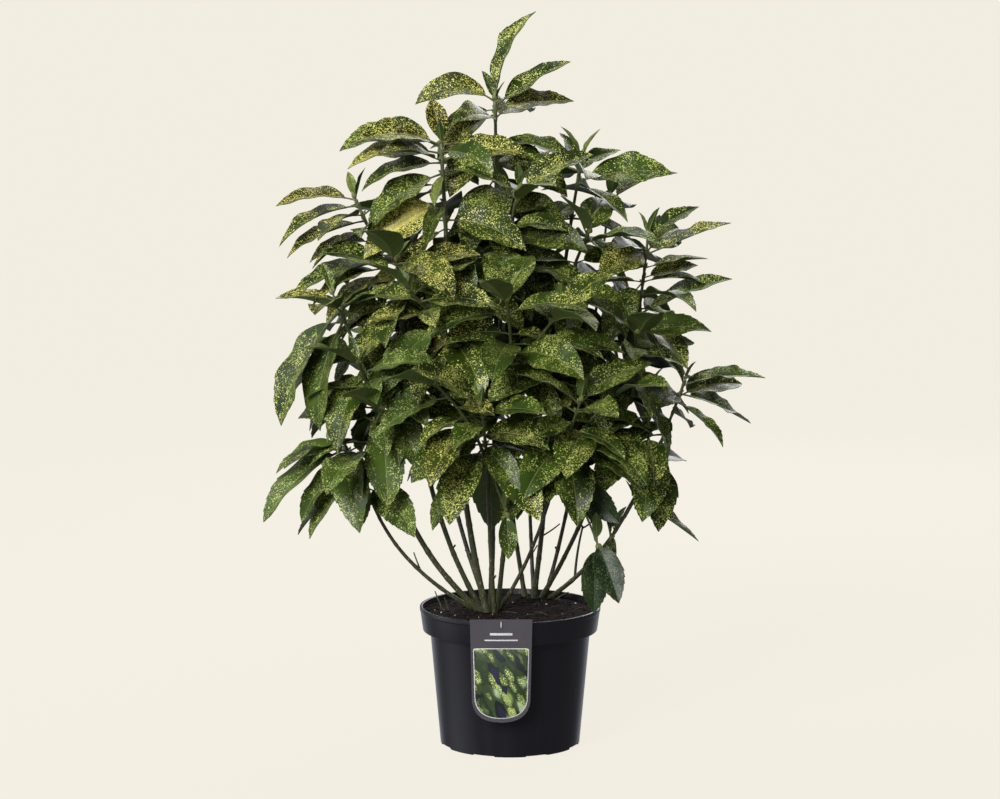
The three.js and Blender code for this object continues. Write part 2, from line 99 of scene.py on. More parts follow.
class Wire:
    """A value inside a finish. Arithmetic on it adds Math nodes."""

    def __init__(self, finish, socket):
        self.finish = finish
        self.socket = socket

    def maths(self, operation, *values):
        settings = {"operation": operation}
        return self.finish.add("ShaderNodeMath", settings, dict(enumerate(values)))

    def __add__(self, other):
        return self.maths("ADD", self, other)

    def __sub__(self, other):
        return self.maths("SUBTRACT", self, other)

    def __rsub__(self, other):
        return self.maths("SUBTRACT", other, self)

    def __mul__(self, other):
        return self.maths("MULTIPLY", self, other)

    def __lt__(self, other):
        return self.maths("LESS_THAN", self, other)

    def __gt__(self, other):
        return self.maths("GREATER_THAN", self, other)

    def __abs__(self):
        return self.maths("ABSOLUTE", self)


class Nodes:
    """A node tree, and the one method that adds any node to it."""

    def __init__(self, tree):
        self.tree = tree

    def add(self, kind, settings=None, values=None, out=0):
        """Adds a node. Its output comes back, or several if out names several."""
        node = self.tree.nodes.new(kind)
        for setting, choice in (settings or {}).items():
            setattr(node, setting, choice)
        for key, value in (values or {}).items():
            self.connect(node.inputs[key], value)
        if isinstance(out, list):
            return [Wire(self, node.outputs[name]) for name in out]
        return Wire(self, node.outputs[out])

    def connect(self, socket, value):
        if isinstance(value, Wire):
            self.tree.links.new(value.socket, socket)
        elif isinstance(value, tuple) and len(value) == 3 and socket.type == "RGBA":
            socket.default_value = (*value, 1)
        else:
            socket.default_value = value

    def part(self, vector, axis):
        return self.add("ShaderNodeSeparateXYZ", values={0: vector}, out=axis)

    def step(self, value, low, high):
        """From 0 where the value is low to 1 where it is high, with soft ends."""
        settings = {"interpolation_type": "SMOOTHSTEP"}
        return self.add("ShaderNodeMapRange", settings,
                        {"Value": value, "From Min": low, "From Max": high})

    def mix(self, share, first, second):
        settings = {"data_type": "RGBA"}
        return self.add("ShaderNodeMix", settings, {0: share, 6: first, 7: second}, out=2)


class Finish(Nodes):
    """A material."""

    def __init__(self, name, roughness, specular):
        self.material = bpy.data.materials.new(name)
        self.material.use_nodes = True
        super().__init__(self.material.node_tree)
        self.shader = self.tree.nodes["Principled BSDF"]
        self.wear("Roughness", roughness)
        self.wear("Specular IOR Level", specular)
        self.places = self.add("ShaderNodeTexCoord", out="Object")

    def wear(self, socket, value):
        self.connect(self.shader.inputs[socket], value)

    def noise(self, scale, detail=2, roughness=0.5, places=None, out="Fac"):
        values = {"Vector": places or self.places, "Scale": scale, "Detail": detail,
                  "Roughness": roughness}
        return self.add("ShaderNodeTexNoise", values=values, out=out)

    def cells(self, scale, places=None):
        """How far a place is from the middle of its cell, and the cell's own colour."""
        values = {"Vector": places or self.places, "Scale": scale}
        return self.add("ShaderNodeTexVoronoi", values=values, out=["Distance", "Color"])

    def spots(self, scale, share, small, large, places=None):
        """Round spots in some of the cells, and a tone that differs from spot to spot."""
        distance, cell = self.cells(scale, places)
        size = self.part(cell, "Y") * (large - small) + small
        spot = 1 - self.step(distance.maths("DIVIDE", distance, size), 0.78, 1.0)
        return spot * (self.part(cell, "X") < share), self.part(cell, "Z")

    def stretched(self, amounts):
        settings = {"operation": "MULTIPLY"}
        return self.add("ShaderNodeVectorMath", settings, {0: self.places, 1: amounts})

    def bump(self, height, depth, strength):
        values = {"Height": height, "Distance": depth, "Strength": strength}
        self.wear("Normal", self.add("ShaderNodeBump", values=values, out="Normal"))


def studio_walls():
    """Walls as bright as the photo's to the eye, dimmer as a fill, and seen in shiny things as two
    bright cool panels low on the left and behind."""
    world = bpy.data.worlds.new("studio")
    world.use_nodes = True
    room = Nodes(world.node_tree)
    diffuse, glossy = room.add("ShaderNodeLightPath", out=["Is Diffuse Ray", "Is Glossy Ray"])
    toward = room.add("ShaderNodeTexCoord", out="Generated")
    left = room.step(room.part(toward, "X") * -1, 0.80, 0.96)
    panels = left.maths("MAXIMUM", left, room.step(room.part(toward, "Y"), 0.70, 0.95))
    low = 1 - room.step(room.part(toward, "Z"), 0.0, 0.3)
    shine = panels * low * (SIDE_SHINE - SHINE) + SHINE
    walls = world.node_tree.nodes["Background"]
    room.connect(walls.inputs["Color"], room.mix(glossy, BACKGROUND, SHINE_TINT))
    room.connect(walls.inputs["Strength"], diffuse * (FILL - 1) + glossy * (shine - 1) + 1)
    return world


scene.world = studio_walls()


def warped(finish, scale, reach):
    """Object places that wander a little, so that what is drawn by them has uneven edges."""
    drift = finish.noise(scale, 2, out="Color")
    drift = finish.add("ShaderNodeVectorMath", {"operation": "SUBTRACT"}, {0: drift, 1: (0.5, 0.5, 0.5)})
    drift = finish.add("ShaderNodeVectorMath", {"operation": "SCALE"}, {0: drift, "Scale": reach})
    return finish.add("ShaderNodeVectorMath", {"operation": "ADD"}, {0: finish.places, 1: drift})


def blade_plan(finish):
    """How far a place is across the blade from its midrib, and along it, in metres."""
    plan = finish.add("ShaderNodeUVMap", {"uv_map": "blade"})
    return finish.part(plan, "X"), finish.part(plan, "Y")


def leaf_lines(finish, width):
    """The midrib, and the side veins that run out from it, as masks over the blade's own plan."""
    across, along = blade_plan(finish)
    across = abs(across)
    rib = 1 - finish.step(across, width * 0.4, width)
    vein = (along - across * 0.9 + finish.noise(40, 1) * 0.006) * 62
    vein = abs(vein.maths("FRACT", vein) - 0.5)
    return rib, 1 - finish.step(vein, 0.02, 0.12)


# Specks of each size: how many to a metre, how common, and their least and largest share of a cell.
SPECK_SIZES = ((680, 0.9, 0.36, 0.66), (450, 0.9, 0.30, 0.60), (280, 0.36, 0.22, 0.48))


LEAF_ROUGHNESS = 0.40


def leaf_finish(name, dark, light, speck, share, blotch=None):
    """The upper face of a leaf: two greens, specks of several sizes, and a faint midrib."""
    finish = Finish(name, roughness=LEAF_ROUGHNESS, specular=0.22)
    colour = finish.mix(finish.step(finish.noise(19, 3), 0.36, 0.64), dark, light)
    uneven = warped(finish, 330, 0.0036)
    wanted = finish.noise(30, 2) * 1.9 + (share - 0.95)
    faint = 1 - finish.step(finish.noise(75, 2), 0.36, 0.60)
    dull = tuple(0.30 * part for part in speck)
    for scale, common, small, large in SPECK_SIZES:
        spot, tone = finish.spots(scale, wanted * common, small, large, uneven)
        colour = finish.mix(spot, colour, finish.mix(tone * 0.7 + faint * 0.45, speck, dull))
    if blotch:
        across, along = blade_plan(finish)
        uneven_edge = finish.noise(70, 3) * 0.024
        middle = 1 - finish.step(abs(across) + uneven_edge, 0.016, 0.024)
        ends = finish.step(along, 0.024, 0.05) * (1 - finish.step(along + uneven_edge, 0.10, 0.125))
        grain = 1 - finish.step(finish.cells(430, uneven)[0], 0.16, 0.34) * 0.55
        colour = finish.mix(middle * ends * grain, colour, blotch)
    rib, veins = leaf_lines(finish, 0.0012)
    colour = finish.mix(rib * 0.4, colour, tuple(0.3 * part + 0.04 for part in speck))
    finish.wear("Base Color", finish.mix(veins * 0.12, colour, dark))
    grooves = veins * -0.3 - rib * 1.4
    finish.bump(grooves + finish.noise(240, 2) * 0.25 + finish.noise(60, 2) * 1.4, 0.0007, 0.55)
    finish.wear("Roughness", finish.noise(45, 2) * 0.2 + (LEAF_ROUGHNESS - 0.1))
    return finish.material


def underside_finish():
    """The under face of a leaf: paler and duller, with a raised midrib and veins."""
    finish = Finish("leaf_underside", roughness=0.5, specular=0.3)
    ground = finish.mix(finish.noise(30, 2), (0.080, 0.122, 0.032), (0.042, 0.070, 0.017))
    rib, veins = leaf_lines(finish, 0.0018)
    lines = rib.maths("MAXIMUM", rib, veins * 0.35)
    finish.wear("Base Color", finish.mix(lines * 0.6, ground, (0.15, 0.20, 0.07)))
    finish.bump(lines + finish.noise(260, 2) * 0.3, 0.0006, 0.5)
    return finish.material


def bark_finish(name, green, brown, light, brownness, roughness):
    """Bark: green under a brown skin that opens in upright streaks, with pale breathing pores."""
    finish = Finish(name, roughness=roughness, specular=0.55)
    streaks = finish.noise(1, 4, 0.6, finish.stretched((420, 420, 38)))
    skin = finish.step(streaks * 0.6 + finish.noise(28, 3) * 0.6, 0.74 - brownness, 0.92 - brownness)
    colour = finish.mix(skin, green, brown)
    colour = finish.mix(finish.step(streaks, 0.56, 0.7) * 0.5, colour, light)
    pores, _ = finish.spots(1, 0.28, 0.2, 0.3, finish.stretched((300, 300, 130)))
    finish.wear("Base Color", finish.mix(pores * 0.7, colour, (0.30, 0.26, 0.17)))
    finish.bump(streaks + pores * 0.6, 0.0007, 0.7)
    finish.wear("Roughness", streaks * 0.25 + (roughness - 0.12))
    return finish.material


def soft_green_finish(name, first, second):
    """Petioles and buds: a smooth green skin."""
    finish = Finish(name, roughness=0.45, specular=0.35)
    colour = finish.mix(finish.noise(1, 3, 0.5, finish.stretched((180, 180, 40))), first, second)
    finish.wear("Base Color", colour)
    finish.bump(finish.noise(400, 2), 0.0003, 0.5)
    return finish.material


def soil_finish(name, dark, light, scale):
    """Peaty soil: dark crumbs of several sizes, some of them reddish."""
    finish = Finish(name, roughness=0.95, specular=0.15)
    crumbs = finish.noise(scale, 5, 0.7)
    colour = finish.mix(finish.step(crumbs, 0.38, 0.68), dark, light)
    colour = finish.mix(finish.step(finish.noise(scale * 0.2, 2), 0.5, 0.72) * 0.5, colour,
                        (0.030, 0.013, 0.010))
    finish.wear("Base Color", colour)
    finish.bump(crumbs + finish.cells(scale * 1.6)[0] * 0.6, 0.0022, 0.9)
    return finish.material


def pot_finish():
    """Black moulded plastic, a little violet, with faint upright flow lines and a fine grain."""
    finish = Finish("black_plastic", roughness=0.34, specular=0.5)
    flow = finish.noise(1, 3, 0.5, finish.stretched((60, 60, 4)))
    colour = finish.mix(flow, (0.0034, 0.0032, 0.0052), (0.0062, 0.0058, 0.0092))
    dust = finish.step(finish.noise(9, 4, 0.65), 0.56, 0.78)
    finish.wear("Base Color", finish.mix(dust * 0.25, colour, (0.014, 0.013, 0.017)))
    scratches = finish.noise(1, 2, 0.5, finish.stretched((900, 900, 30)))
    finish.wear("Roughness", flow * 0.16 + scratches * 0.08 + 0.22)
    finish.bump(finish.noise(700, 2) * 0.06 + flow * 0.5, 0.0003, 0.5)
    return finish.material


def plain_finish(name, colour, roughness, grain, depth, specular=0.5):
    """A smooth made surface with a slight change of tone and a fine grain."""
    finish = Finish(name, roughness=roughness, specular=specular)
    tone = finish.noise(40, 2)
    finish.wear("Base Color", finish.mix(tone, colour, tuple(0.82 * part for part in colour)))
    finish.wear("Roughness", finish.noise(grain * 0.3, 2) * 0.1 + (roughness - 0.05))
    finish.bump(finish.noise(grain, 2), depth, 0.5)
    return finish.material


def floor_finish():
    """A pale studio floor that meets the walls without a line: part of its light is its own."""
    finish = Finish("studio_floor", roughness=1.0, specular=0.0)
    toward = np.array(KEY_FROM) / np.linalg.norm(KEY_FROM)
    received = tuple(FILL * part + KEY * toward[2] / math.pi for part in BACKGROUND)
    glow = tuple(part - FLOOR_TONE * light for part, light in zip(BACKGROUND, received))
    finish.wear("Base Color", (FLOOR_TONE,) * 3)
    finish.wear("Emission Color", glow)
    finish.wear("Emission Strength", 1.0)
    return finish.material


# The two darkest leaf finishes are darker copies of the leaf greens: painted shade for leaves in the shade
# of the crown. leaf_colour deals the finishes out by light and shade as painted shade, and gives the olive
# and bronze tints to leaves in the light.
LEAF_FINISHES = [
    leaf_finish("leaf_painted_deep_shade", (0.007, 0.015, 0.005), (0.016, 0.031, 0.010), (0.10, 0.14, 0.055), 0.28),
    leaf_finish("leaf_shade", (0.011, 0.020, 0.003), (0.026, 0.045, 0.006), (0.32, 0.40, 0.08), 0.30),
    leaf_finish("leaf_deep", (0.013, 0.026, 0.003), (0.033, 0.062, 0.006), (0.58, 0.66, 0.16), 0.32),
    leaf_finish("leaf_mid", (0.011, 0.021, 0.002), (0.027, 0.050, 0.004), (0.78, 0.82, 0.22), 0.33),
    leaf_finish("leaf_plain", (0.025, 0.047, 0.007), (0.055, 0.092, 0.012), (0.54, 0.62, 0.19), 0.27),
    leaf_finish("leaf_olive", (0.015, 0.024, 0.002), (0.034, 0.050, 0.004), (0.88, 0.86, 0.22), 0.36),
    leaf_finish("leaf_bronze", (0.020, 0.023, 0.002), (0.042, 0.045, 0.004), (0.86, 0.80, 0.20), 0.36),
    leaf_finish("leaf_golden", (0.042, 0.058, 0.004), (0.085, 0.10, 0.007), (0.96, 0.90, 0.25), 0.60,
                blotch=(1.0, 0.88, 0.26)),
    leaf_finish("leaf_fresh", (0.080, 0.110, 0.020), (0.130, 0.165, 0.036), (0.40, 0.46, 0.13), 0.26),
]
PAINTED_DEEP_SHADE, SHADE, DEEP, MID, PLAIN, OLIVE, BRONZE, GOLDEN, FRESH = range(len(LEAF_FINISHES))
UNDERSIDE_SLOT = len(LEAF_FINISHES)
PETIOLE_SLOT = UNDERSIDE_SLOT + 1
leaf_slots = LEAF_FINISHES + [
    underside_finish(),
    soft_green_finish("petiole_green", (0.060, 0.072, 0.022), (0.11, 0.125, 0.045)),
]
cane_bark = bark_finish("cane_bark", (0.046, 0.052, 0.021), (0.045, 0.037, 0.023),
                        (0.27, 0.24, 0.16), 0.10, 0.42)
twig_bark = bark_finish("twig_bark", (0.064, 0.080, 0.026), (0.070, 0.066, 0.038),
                        (0.20, 0.21, 0.10), 0.0, 0.5)
litter_bark = bark_finish("litter_bark", (0.050, 0.036, 0.024), (0.042, 0.026, 0.018),
                          (0.10, 0.075, 0.050), 0.10, 0.8)
bud_green = soft_green_finish("bud_green", (0.11, 0.13, 0.035), (0.17, 0.19, 0.06))


# The rule that the plant grows by

SOIL_LEVEL = 208
BARK_GIRTH = 0.87
CANE_FOOT_RADIUS = 5.4
CANE_TIP_RADIUS = 3.9
CANE_LEAN = 0.62
CANE_RISE = 0.42
SHOOT_FOOT_RADIUS = 3.9
SHOOT_TIP_RADIUS = 2.4
SHOOT_LEAN = 0.42
FORK_STEP = 0.06
FORK_SLIMMING = 0.5
MEET_GAP = 0.3

PETIOLE_SHARE = 0.13
LEAF_WIDTH_RATIO = 0.43
LEAF_FOLD = 17
PAIR_DEPTHS = [8, 26, 86, 106, 130, 204, 228, 304]
BARE_FOOT = 24
NEWEST_POSED = 4
PAIR_TURN = 90
AZIMUTH_JITTER = 36
OLD_DEPTH = 130
SHADE_BELOW = 640
SHADE_DEPTH = 300
RISE = {"young": 57, "old": -8, "shade": -14, "jitter": 20}
BEND = {"young": 24, "old": 52, "shade": 0, "jitter": 18}
LENGTH = {"young": 116, "old": 142, "shade": 8, "jitter": 26}
CROWN_BACK = np.array([0, 90])
FACE_TURN = 34
ROLL_JITTER = 24
TURNS = [(0, 0), (12, -6), (-12, 6), (24, -12), (-24, 10), (8, -24), (-8, 22), (38, -10), (-38, -10)]

# Each cane: its foot in the soil, its top, how it leans, and its leading shoots. A shoot is its tip,
# its phase, any longer bare foot, and its posed leaves: azimuth, rise, bend, length, depth below the
# tip, and any roll. The girth scales the radii of the cane and of its shoots.
CANES = [
    {"base": [-56, 2], "top": [-206, -42, 372], "lean": 0.74, "girth": 0.72, "leaders": [
        {"tip": [-260, -45, 488], "phase": 50, "posed": [
            [178, -14, 24, 116, 8], [183, -24, 32, 174, 20], [203, -33, 34, 128, 34],
            [204, -34, 30, 128, 60], [324, -22, 40, 160, 12], [262, -46, 26, 96, 48]]},
        {"tip": [-190, -134, 540], "phase": 70, "bare": 110, "posed": []}]},
    {"base": [-48, -12], "top": [-192, -62, 480], "lean": 0.8, "girth": 1, "leaders": [
        {"tip": [-268, -70, 706], "phase": 60, "posed": [
            [180, 16, 26, 92, 10], [186, -46, 30, 200, 24], [222, -50, 46, 178, 38],
            [190, -16, 46, 140, 96], [232, -30, 40, 150, 110]]},
        {"tip": [-226, -150, 610], "phase": 55, "posed": []}]},
    {"base": [-46, 12], "top": [-150, 0, 560], "lean": 0.8, "girth": 0.9, "leaders": [
        {"tip": [-236, -20, 848], "phase": 30, "posed": [
            [176, 14, 34, 126, 4], [185, -4, 44, 140, 12], [190, -8, 32, 134, 34],
            [198, -16, 30, 108, 48], [188, -4, 34, 150, 96], [204, -20, 34, 128, 112]]},
        {"tip": [-170, -112, 760], "phase": 80, "posed": [[310, 12, 58, 150, 8]]}]},
    {"base": [-36, -20], "top": [-84, -58, 560], "lean": 0.75, "girth": 1.1, "leaders": [
        {"tip": [-104, -60, 934], "phase": 0, "posed": [
            [112, 66, 14, 80, 4, 0], [176, 30, 62, 164, 8], [165, 38, 46, 142, 6],
            [182, 14, 44, 148, 16], [190, 2, 40, 132, 28], [186, 8, 38, 146, 42],
            [318, 12, 62, 112, 14], [206, -24, 32, 152, 80, -52], [270, -60, 20, 60, 40]]},
        {"tip": [-150, -156, 716], "phase": 40, "posed": []}]},
    {"base": [-30, 4], "top": [-22, 2, 620], "girth": 0.95, "leaders": [
        {"tip": [-23, 0, 996], "phase": 60, "posed": [
            [12, 88, 44, 154, 3, 10], [348, 35, 8, 134, 8], [8, 12, 12, 122, 12],
            [180, 38, 80, 132, 4], [200, -4, 30, 96, 14], [190, -20, 34, 114, 20],
            [215, -24, 40, 124, 54]]},
        {"tip": [14, -96, 866], "phase": 10, "bare": 90, "posed": []}]},
    {"base": [38, 92], "top": [70, 42, 590], "girth": 0.9, "leaders": [
        {"tip": [110, 26, 908], "phase": 100, "posed": [
            [356, 18, 26, 148, 34, 34], [135, 50, 12, 64, 8], [184, 32, 30, 128, 10],
            [182, 20, 30, 140, 20], [30, 26, 16, 76, 12], [322, -12, 30, 112, 40]]},
        {"tip": [118, -84, 800], "phase": 60, "posed": []}]},
    {"base": [50, 100], "top": [166, 14, 510], "girth": 0.8, "leaders": [
        {"tip": [210, -10, 792], "phase": 55, "posed": [
            [16, 40, 20, 96, 6], [0, 25, 6, 138, 28], [350, 16, 12, 98, 46], [18, 16, 10, 92, 60],
            [0, 30, 16, 154, 114], [312, 0, 20, 92, 104], [222, 6, 26, 132, 24, -40],
            [204, -16, 24, 118, 66, -46]]},
        {"tip": [190, -104, 650], "phase": 35, "posed": []}]},
    {"base": [62, 92], "top": [176, 14, 350], "girth": 0.8, "leaders": [
        {"tip": [268, -20, 572], "phase": 60, "bare": 170, "posed": [
            [0, 19, 26, 128, 10], [20, -14, 16, 130, 22], [322, -20, 30, 108, 34],
            [66, -10, 24, 90, 50], [190, 0, 40, 140, 84], [236, -26, 40, 142, 98],
            [262, -24, 40, 130, 112], [112, 0, 40, 130, 124], [60, 10, 30, 110, 130]]},
        {"tip": [206, -84, 560], "phase": 80, "bare": 210, "posed": [
            [84, 30, 30, 120, 8], [262, 16, 50, 150, 12], [190, -8, 44, 146, 40],
            [312, -14, 24, 112, 72], [226, -30, 40, 140, 60]]},
        {"tip": [196, 28, 364], "phase": 60, "posed": [[352, -18, 20, 114, 6]]},
        {"tip": [156, -70, 338], "phase": 60, "bare": 200, "posed": [[200, -74, 12, 80, 4]]}]},
    {"base": [-24, -30], "top": [-34, -96, 420], "girth": 0.8, "leaders": [
        {"tip": [-44, -190, 552], "phase": 30, "bare": 60, "posed": [[200, -30, 34, 132, 128]]},
        {"tip": [-112, -164, 580], "phase": 75, "posed": []},
        {"tip": [-6, -112, 378], "phase": 0, "bare": 200, "posed": [[300, -78, 10, 74, 2]]}]},
    {"base": [-16, 4], "top": [62, -62, 400], "girth": 0.68, "leaders": [
        {"tip": [104, -166, 556], "phase": 15, "posed": []},
        {"tip": [172, -112, 574], "phase": 50, "posed": []},
        {"tip": [132, -112, 330], "phase": 0, "bare": 300, "posed": [
            [252, -70, 16, 108, 2], [318, -60, 8, 106, 5, 30], [350, -30, 24, 104, 80, 60]]}]},
    {"base": [-20, -14], "top": [2, -62, 500], "girth": 0.85, "leaders": [
        {"tip": [-6, -190, 706], "phase": 65, "posed": []},
        {"tip": [74, -178, 690], "phase": 20, "posed": []}]},
    {"base": [-36, 24], "top": [-116, 84, 500], "girth": 0.8, "leaders": [
        {"tip": [-150, 130, 800], "phase": 35, "posed": []},
        {"tip": [-236, 110, 640], "phase": 0, "bare": 90, "posed": []},
        {"tip": [-186, 190, 540], "phase": 50, "bare": 90, "posed": []}]},
    {"base": [24, 106], "top": [-14, 118, 520], "girth": 0.8, "leaders": [
        {"tip": [20, 150, 880], "phase": 70, "posed": []},
        {"tip": [-56, 214, 690], "phase": 25, "bare": 90, "posed": []}]},
    {"base": [56, 108], "top": [112, 118, 480], "girth": 0.72, "leaders": [
        {"tip": [156, 128, 842], "phase": 15, "posed": []},
        {"tip": [226, 120, 600], "phase": 60, "bare": 90, "posed": []}]},
    {"base": [38, 110], "top": [30, 150, 400], "girth": 0.72, "leaders": [
        {"tip": [96, 232, 560], "phase": 40, "posed": []},
        {"tip": [-50, 222, 520], "phase": 5, "bare": 90, "posed": []}]},
]


def chance(shoot, leaf, purpose):
    """A number from 0 to 1 that is always the same for the same shoot, leaf and purpose."""
    wave = math.sin(shoot * 12.9898 + leaf * 78.233 + purpose * 37.719 + 4.1) * 43758.5453
    return wave - math.floor(wave)


def blend(first, second, share):
    return first + (second - first) * share


class Line:
    """A gently bent line from a foot over a bend to a tip."""

    def __init__(self, foot, bend, tip):
        self.foot = np.array(foot, float)
        self.bend = np.array(bend, float)
        self.tip = np.array(tip, float)

    def at(self, share):
        share = np.asarray(share, float)[..., None]
        rest = 1 - share
        return self.foot * rest ** 2 + self.bend * 2 * rest * share + self.tip * share ** 2

    def heading(self, share):
        share = np.asarray(share, float)[..., None]
        along = (self.bend - self.foot) * (1 - share) + (self.tip - self.bend) * share
        return along / np.linalg.norm(along, axis=-1, keepdims=True)

    def length(self):
        legs = np.linalg.norm(self.bend - self.foot) + np.linalg.norm(self.tip - self.bend)
        return (np.linalg.norm(self.tip - self.foot) + legs) / 2


def cane_line(base, top, lean=CANE_LEAN):
    foot = np.array([*base, SOIL_LEVEL + MEET_GAP], float)
    bend = blend(foot, np.array(top, float), lean)
    bend[2] = blend(foot[2], top[2], CANE_RISE)
    return Line(foot, bend, top)


def leader_line(start, direction, tip):
    reach = np.linalg.norm(np.array(tip) - start)
    return Line(start, start + direction * reach * SHOOT_LEAN, tip)


class Leaf:
    """Where a leaf grows, and how it stands and bends."""

    def __init__(self, root, azimuth, rise, bend, length, roll):
        self.root, self.azimuth, self.rise = root, azimuth, rise
        self.bend, self.length, self.roll = bend, length, roll

    def turned(self, turn, dip):
        return Leaf(self.root, self.azimuth + turn, self.rise + dip, self.bend, self.length, self.roll)

    def midrib(self, share, extra_roll=0.0):
        """Places on the midrib, with the directions across the leaf and out of its face."""
        share = np.asarray(share, float)[..., None]
        rise, bend = math.radians(self.rise), math.radians(self.bend)
        slope = rise - bend * share
        azimuth = math.radians(self.azimuth)
        out = np.array([math.cos(azimuth), math.sin(azimuth), 0])
        up = np.array([0, 0, 1.0])
        reach = self.length * (math.sin(rise) - np.sin(slope)) / bend
        lift = self.length * (np.cos(slope) - math.cos(rise)) / bend
        level = np.array([-out[1], out[0], 0])
        face = up * np.cos(slope) - out * np.sin(slope)
        roll = math.radians(self.roll) + np.asarray(extra_roll)
        across = level * np.cos(roll) + face * np.sin(roll)
        outward = face * np.cos(roll) - level * np.sin(roll)
        return self.root + out * reach + up * lift, across, outward


def outward_roll(root, azimuth):
    """The roll that turns a leaf's upper face out of the crown, towards the light."""
    out = root[:2] - CROWN_BACK
    out = out / np.linalg.norm(out)
    turn = math.radians(azimuth)
    return -FACE_TURN * (-out[0] * math.sin(turn) + out[1] * math.cos(turn))


def wanted_leaves(leader, shoot, line):
    """The leaves that a shoot wants, from its tip down: posed ones, then opposite pairs."""
    length = line.length()
    posed, phase = leader["posed"], leader["phase"]
    leaves = []
    for azimuth, rise, bend, size, depth, *roll in posed:
        root = line.at(1 - depth / length)
        turn = roll[0] if roll else outward_roll(root, azimuth)
        leaves.append((Leaf(root, azimuth, rise, bend, size, turn), depth))
    bare = leader.get("bare", BARE_FOOT)
    newest = 1 if len(posed) >= NEWEST_POSED else 0
    depths = [depth for depth in PAIR_DEPTHS[newest:] if depth < length - bare]
    return leaves + paired_leaves(depths, phase, shoot, line, 0)


def paired_leaves(depths, phase, shoot, line, first, size=1.0):
    """Opposite pairs at these depths below a shoot's tip, numbered from the first pair."""
    leaves = []
    for pair, depth in enumerate(depths, first):
        root = line.at(1 - depth / line.length())
        age = min(depth / OLD_DEPTH, 1) ** 0.5
        shade = max(0, (SHADE_BELOW - root[2]) / SHADE_DEPTH)
        for side in (0, 1):
            def jitter(purpose):
                return chance(shoot, pair * 2 + side, purpose) - 0.5

            def grown(habit, purpose):
                plain = blend(habit["young"], habit["old"], age) + habit["shade"] * shade
                return plain + habit["jitter"] * jitter(purpose)
            azimuth = phase + pair * PAIR_TURN + side * 180 + jitter(1) * AZIMUTH_JITTER
            roll = outward_roll(root, azimuth) + jitter(5) * ROLL_JITTER
            leaf = Leaf(root, azimuth, grown(RISE, 2), grown(BEND, 3), grown(LENGTH, 4) * size, roll)
            leaves.append((leaf, depth))
    return leaves


def nearness(nodes):
    """A measure of how far a place is from the nearest corner of some foliage solids."""
    points = [vertex.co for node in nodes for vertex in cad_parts[node].data.vertices]
    tree = kdtree.KDTree(len(points))
    for order, place in enumerate(points):
        tree.insert(place, order)
    tree.balance()
    return lambda place: tree.find(tuple(place * MM))[2] / MM


# Shapes that many pieces share

class Pattern:
    """A small shape, made once, that is bent into place many times."""

    def __init__(self, bm, kinds=None):
        bm.verts.index_update()
        self.places = np.array([vertex.co for vertex in bm.verts])
        self.faces = [[vertex.index for vertex in face.verts] for face in bm.faces]
        self.kinds = kinds or [0] * len(self.faces)
        self.corners = np.concatenate([np.array(face) for face in self.faces])
        self.face_of_corner = np.repeat(np.arange(len(self.faces)), [len(f) for f in self.faces])
        bm.free()


class Heap:
    """Many placed patterns that become one piece."""

    def __init__(self):
        self.places, self.faces, self.slots = [], [], []
        self.blade, self.tiles = [], []
        self.count = 0

    def add(self, pattern, places, slots, blade=None, tile=None):
        """Adds a pattern at its new places. slots gives the finish of each kind of face."""
        self.places.append(places)
        start = self.count
        self.faces.extend([start + corner for corner in face] for face in pattern.faces)
        self.slots.extend(slots[kind] for kind in pattern.kinds)
        self.count += len(places)
        if blade is not None:
            self.blade.append(blade[pattern.corners])
            self.tiles.append(tile)

    def piece(self, name, finishes, sharp=50):
        mesh = bpy.data.meshes.new(name)
        mesh.from_pydata((np.concatenate(self.places) * MM).tolist(), [], self.faces)
        for finish in finishes:
            mesh.materials.append(finish)
        mesh.polygons.foreach_set("material_index", self.slots)
        mesh.polygons.foreach_set("use_smooth", [True] * len(self.faces))
        if self.blade:
            layer = mesh.uv_layers.new(name="blade")
            layer.uv.foreach_set("vector", (np.concatenate(self.blade) * MM).ravel())
            layer = mesh.uv_layers.new(name="OFBake")
            layer.uv.foreach_set("vector", np.concatenate(self.tiles).ravel())
        mesh.set_sharp_from_angle(angle=math.radians(sharp))
        piece = bpy.data.objects.new(name, mesh)
        scene.collection.objects.link(piece)
        return piece


def settle(piece, slot, *nodes):
    """The piece moves with the plant, and stands for its solids."""
    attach(piece, "root")
    if nodes:
        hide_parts(*nodes)


def piece_from(bm, name, finish, sharp=35):
    mesh = bpy.data.meshes.new(name)
    bm.to_mesh(mesh)
    bm.free()
    mesh.materials.append(finish)
    mesh.polygons.foreach_set("use_smooth", [True] * len(mesh.polygons))
    mesh.set_sharp_from_angle(angle=math.radians(sharp))
    piece = bpy.data.objects.new(name, mesh)
    scene.collection.objects.link(piece)
    return piece


def sleeve_pattern(sides, steps):
    """A straight closed tube of radius 1 and height 1: a grid that is rolled up and capped."""
    bm = bmesh.new()
    bmesh.ops.create_grid(bm, x_segments=sides, y_segments=steps, size=1)
    for vertex in bm.verts:
        turn = math.pi * (vertex.co.x + 1)
        vertex.co = (math.cos(turn), math.sin(turn), (vertex.co.y + 1) / 2)
    bmesh.ops.remove_doubles(bm, verts=bm.verts, dist=1e-4)
    bmesh.ops.holes_fill(bm, edges=[edge for edge in bm.edges if edge.is_boundary])
    bmesh.ops.recalc_face_normals(bm, faces=bm.faces)
    return Pattern(bm)


sleeves = {}


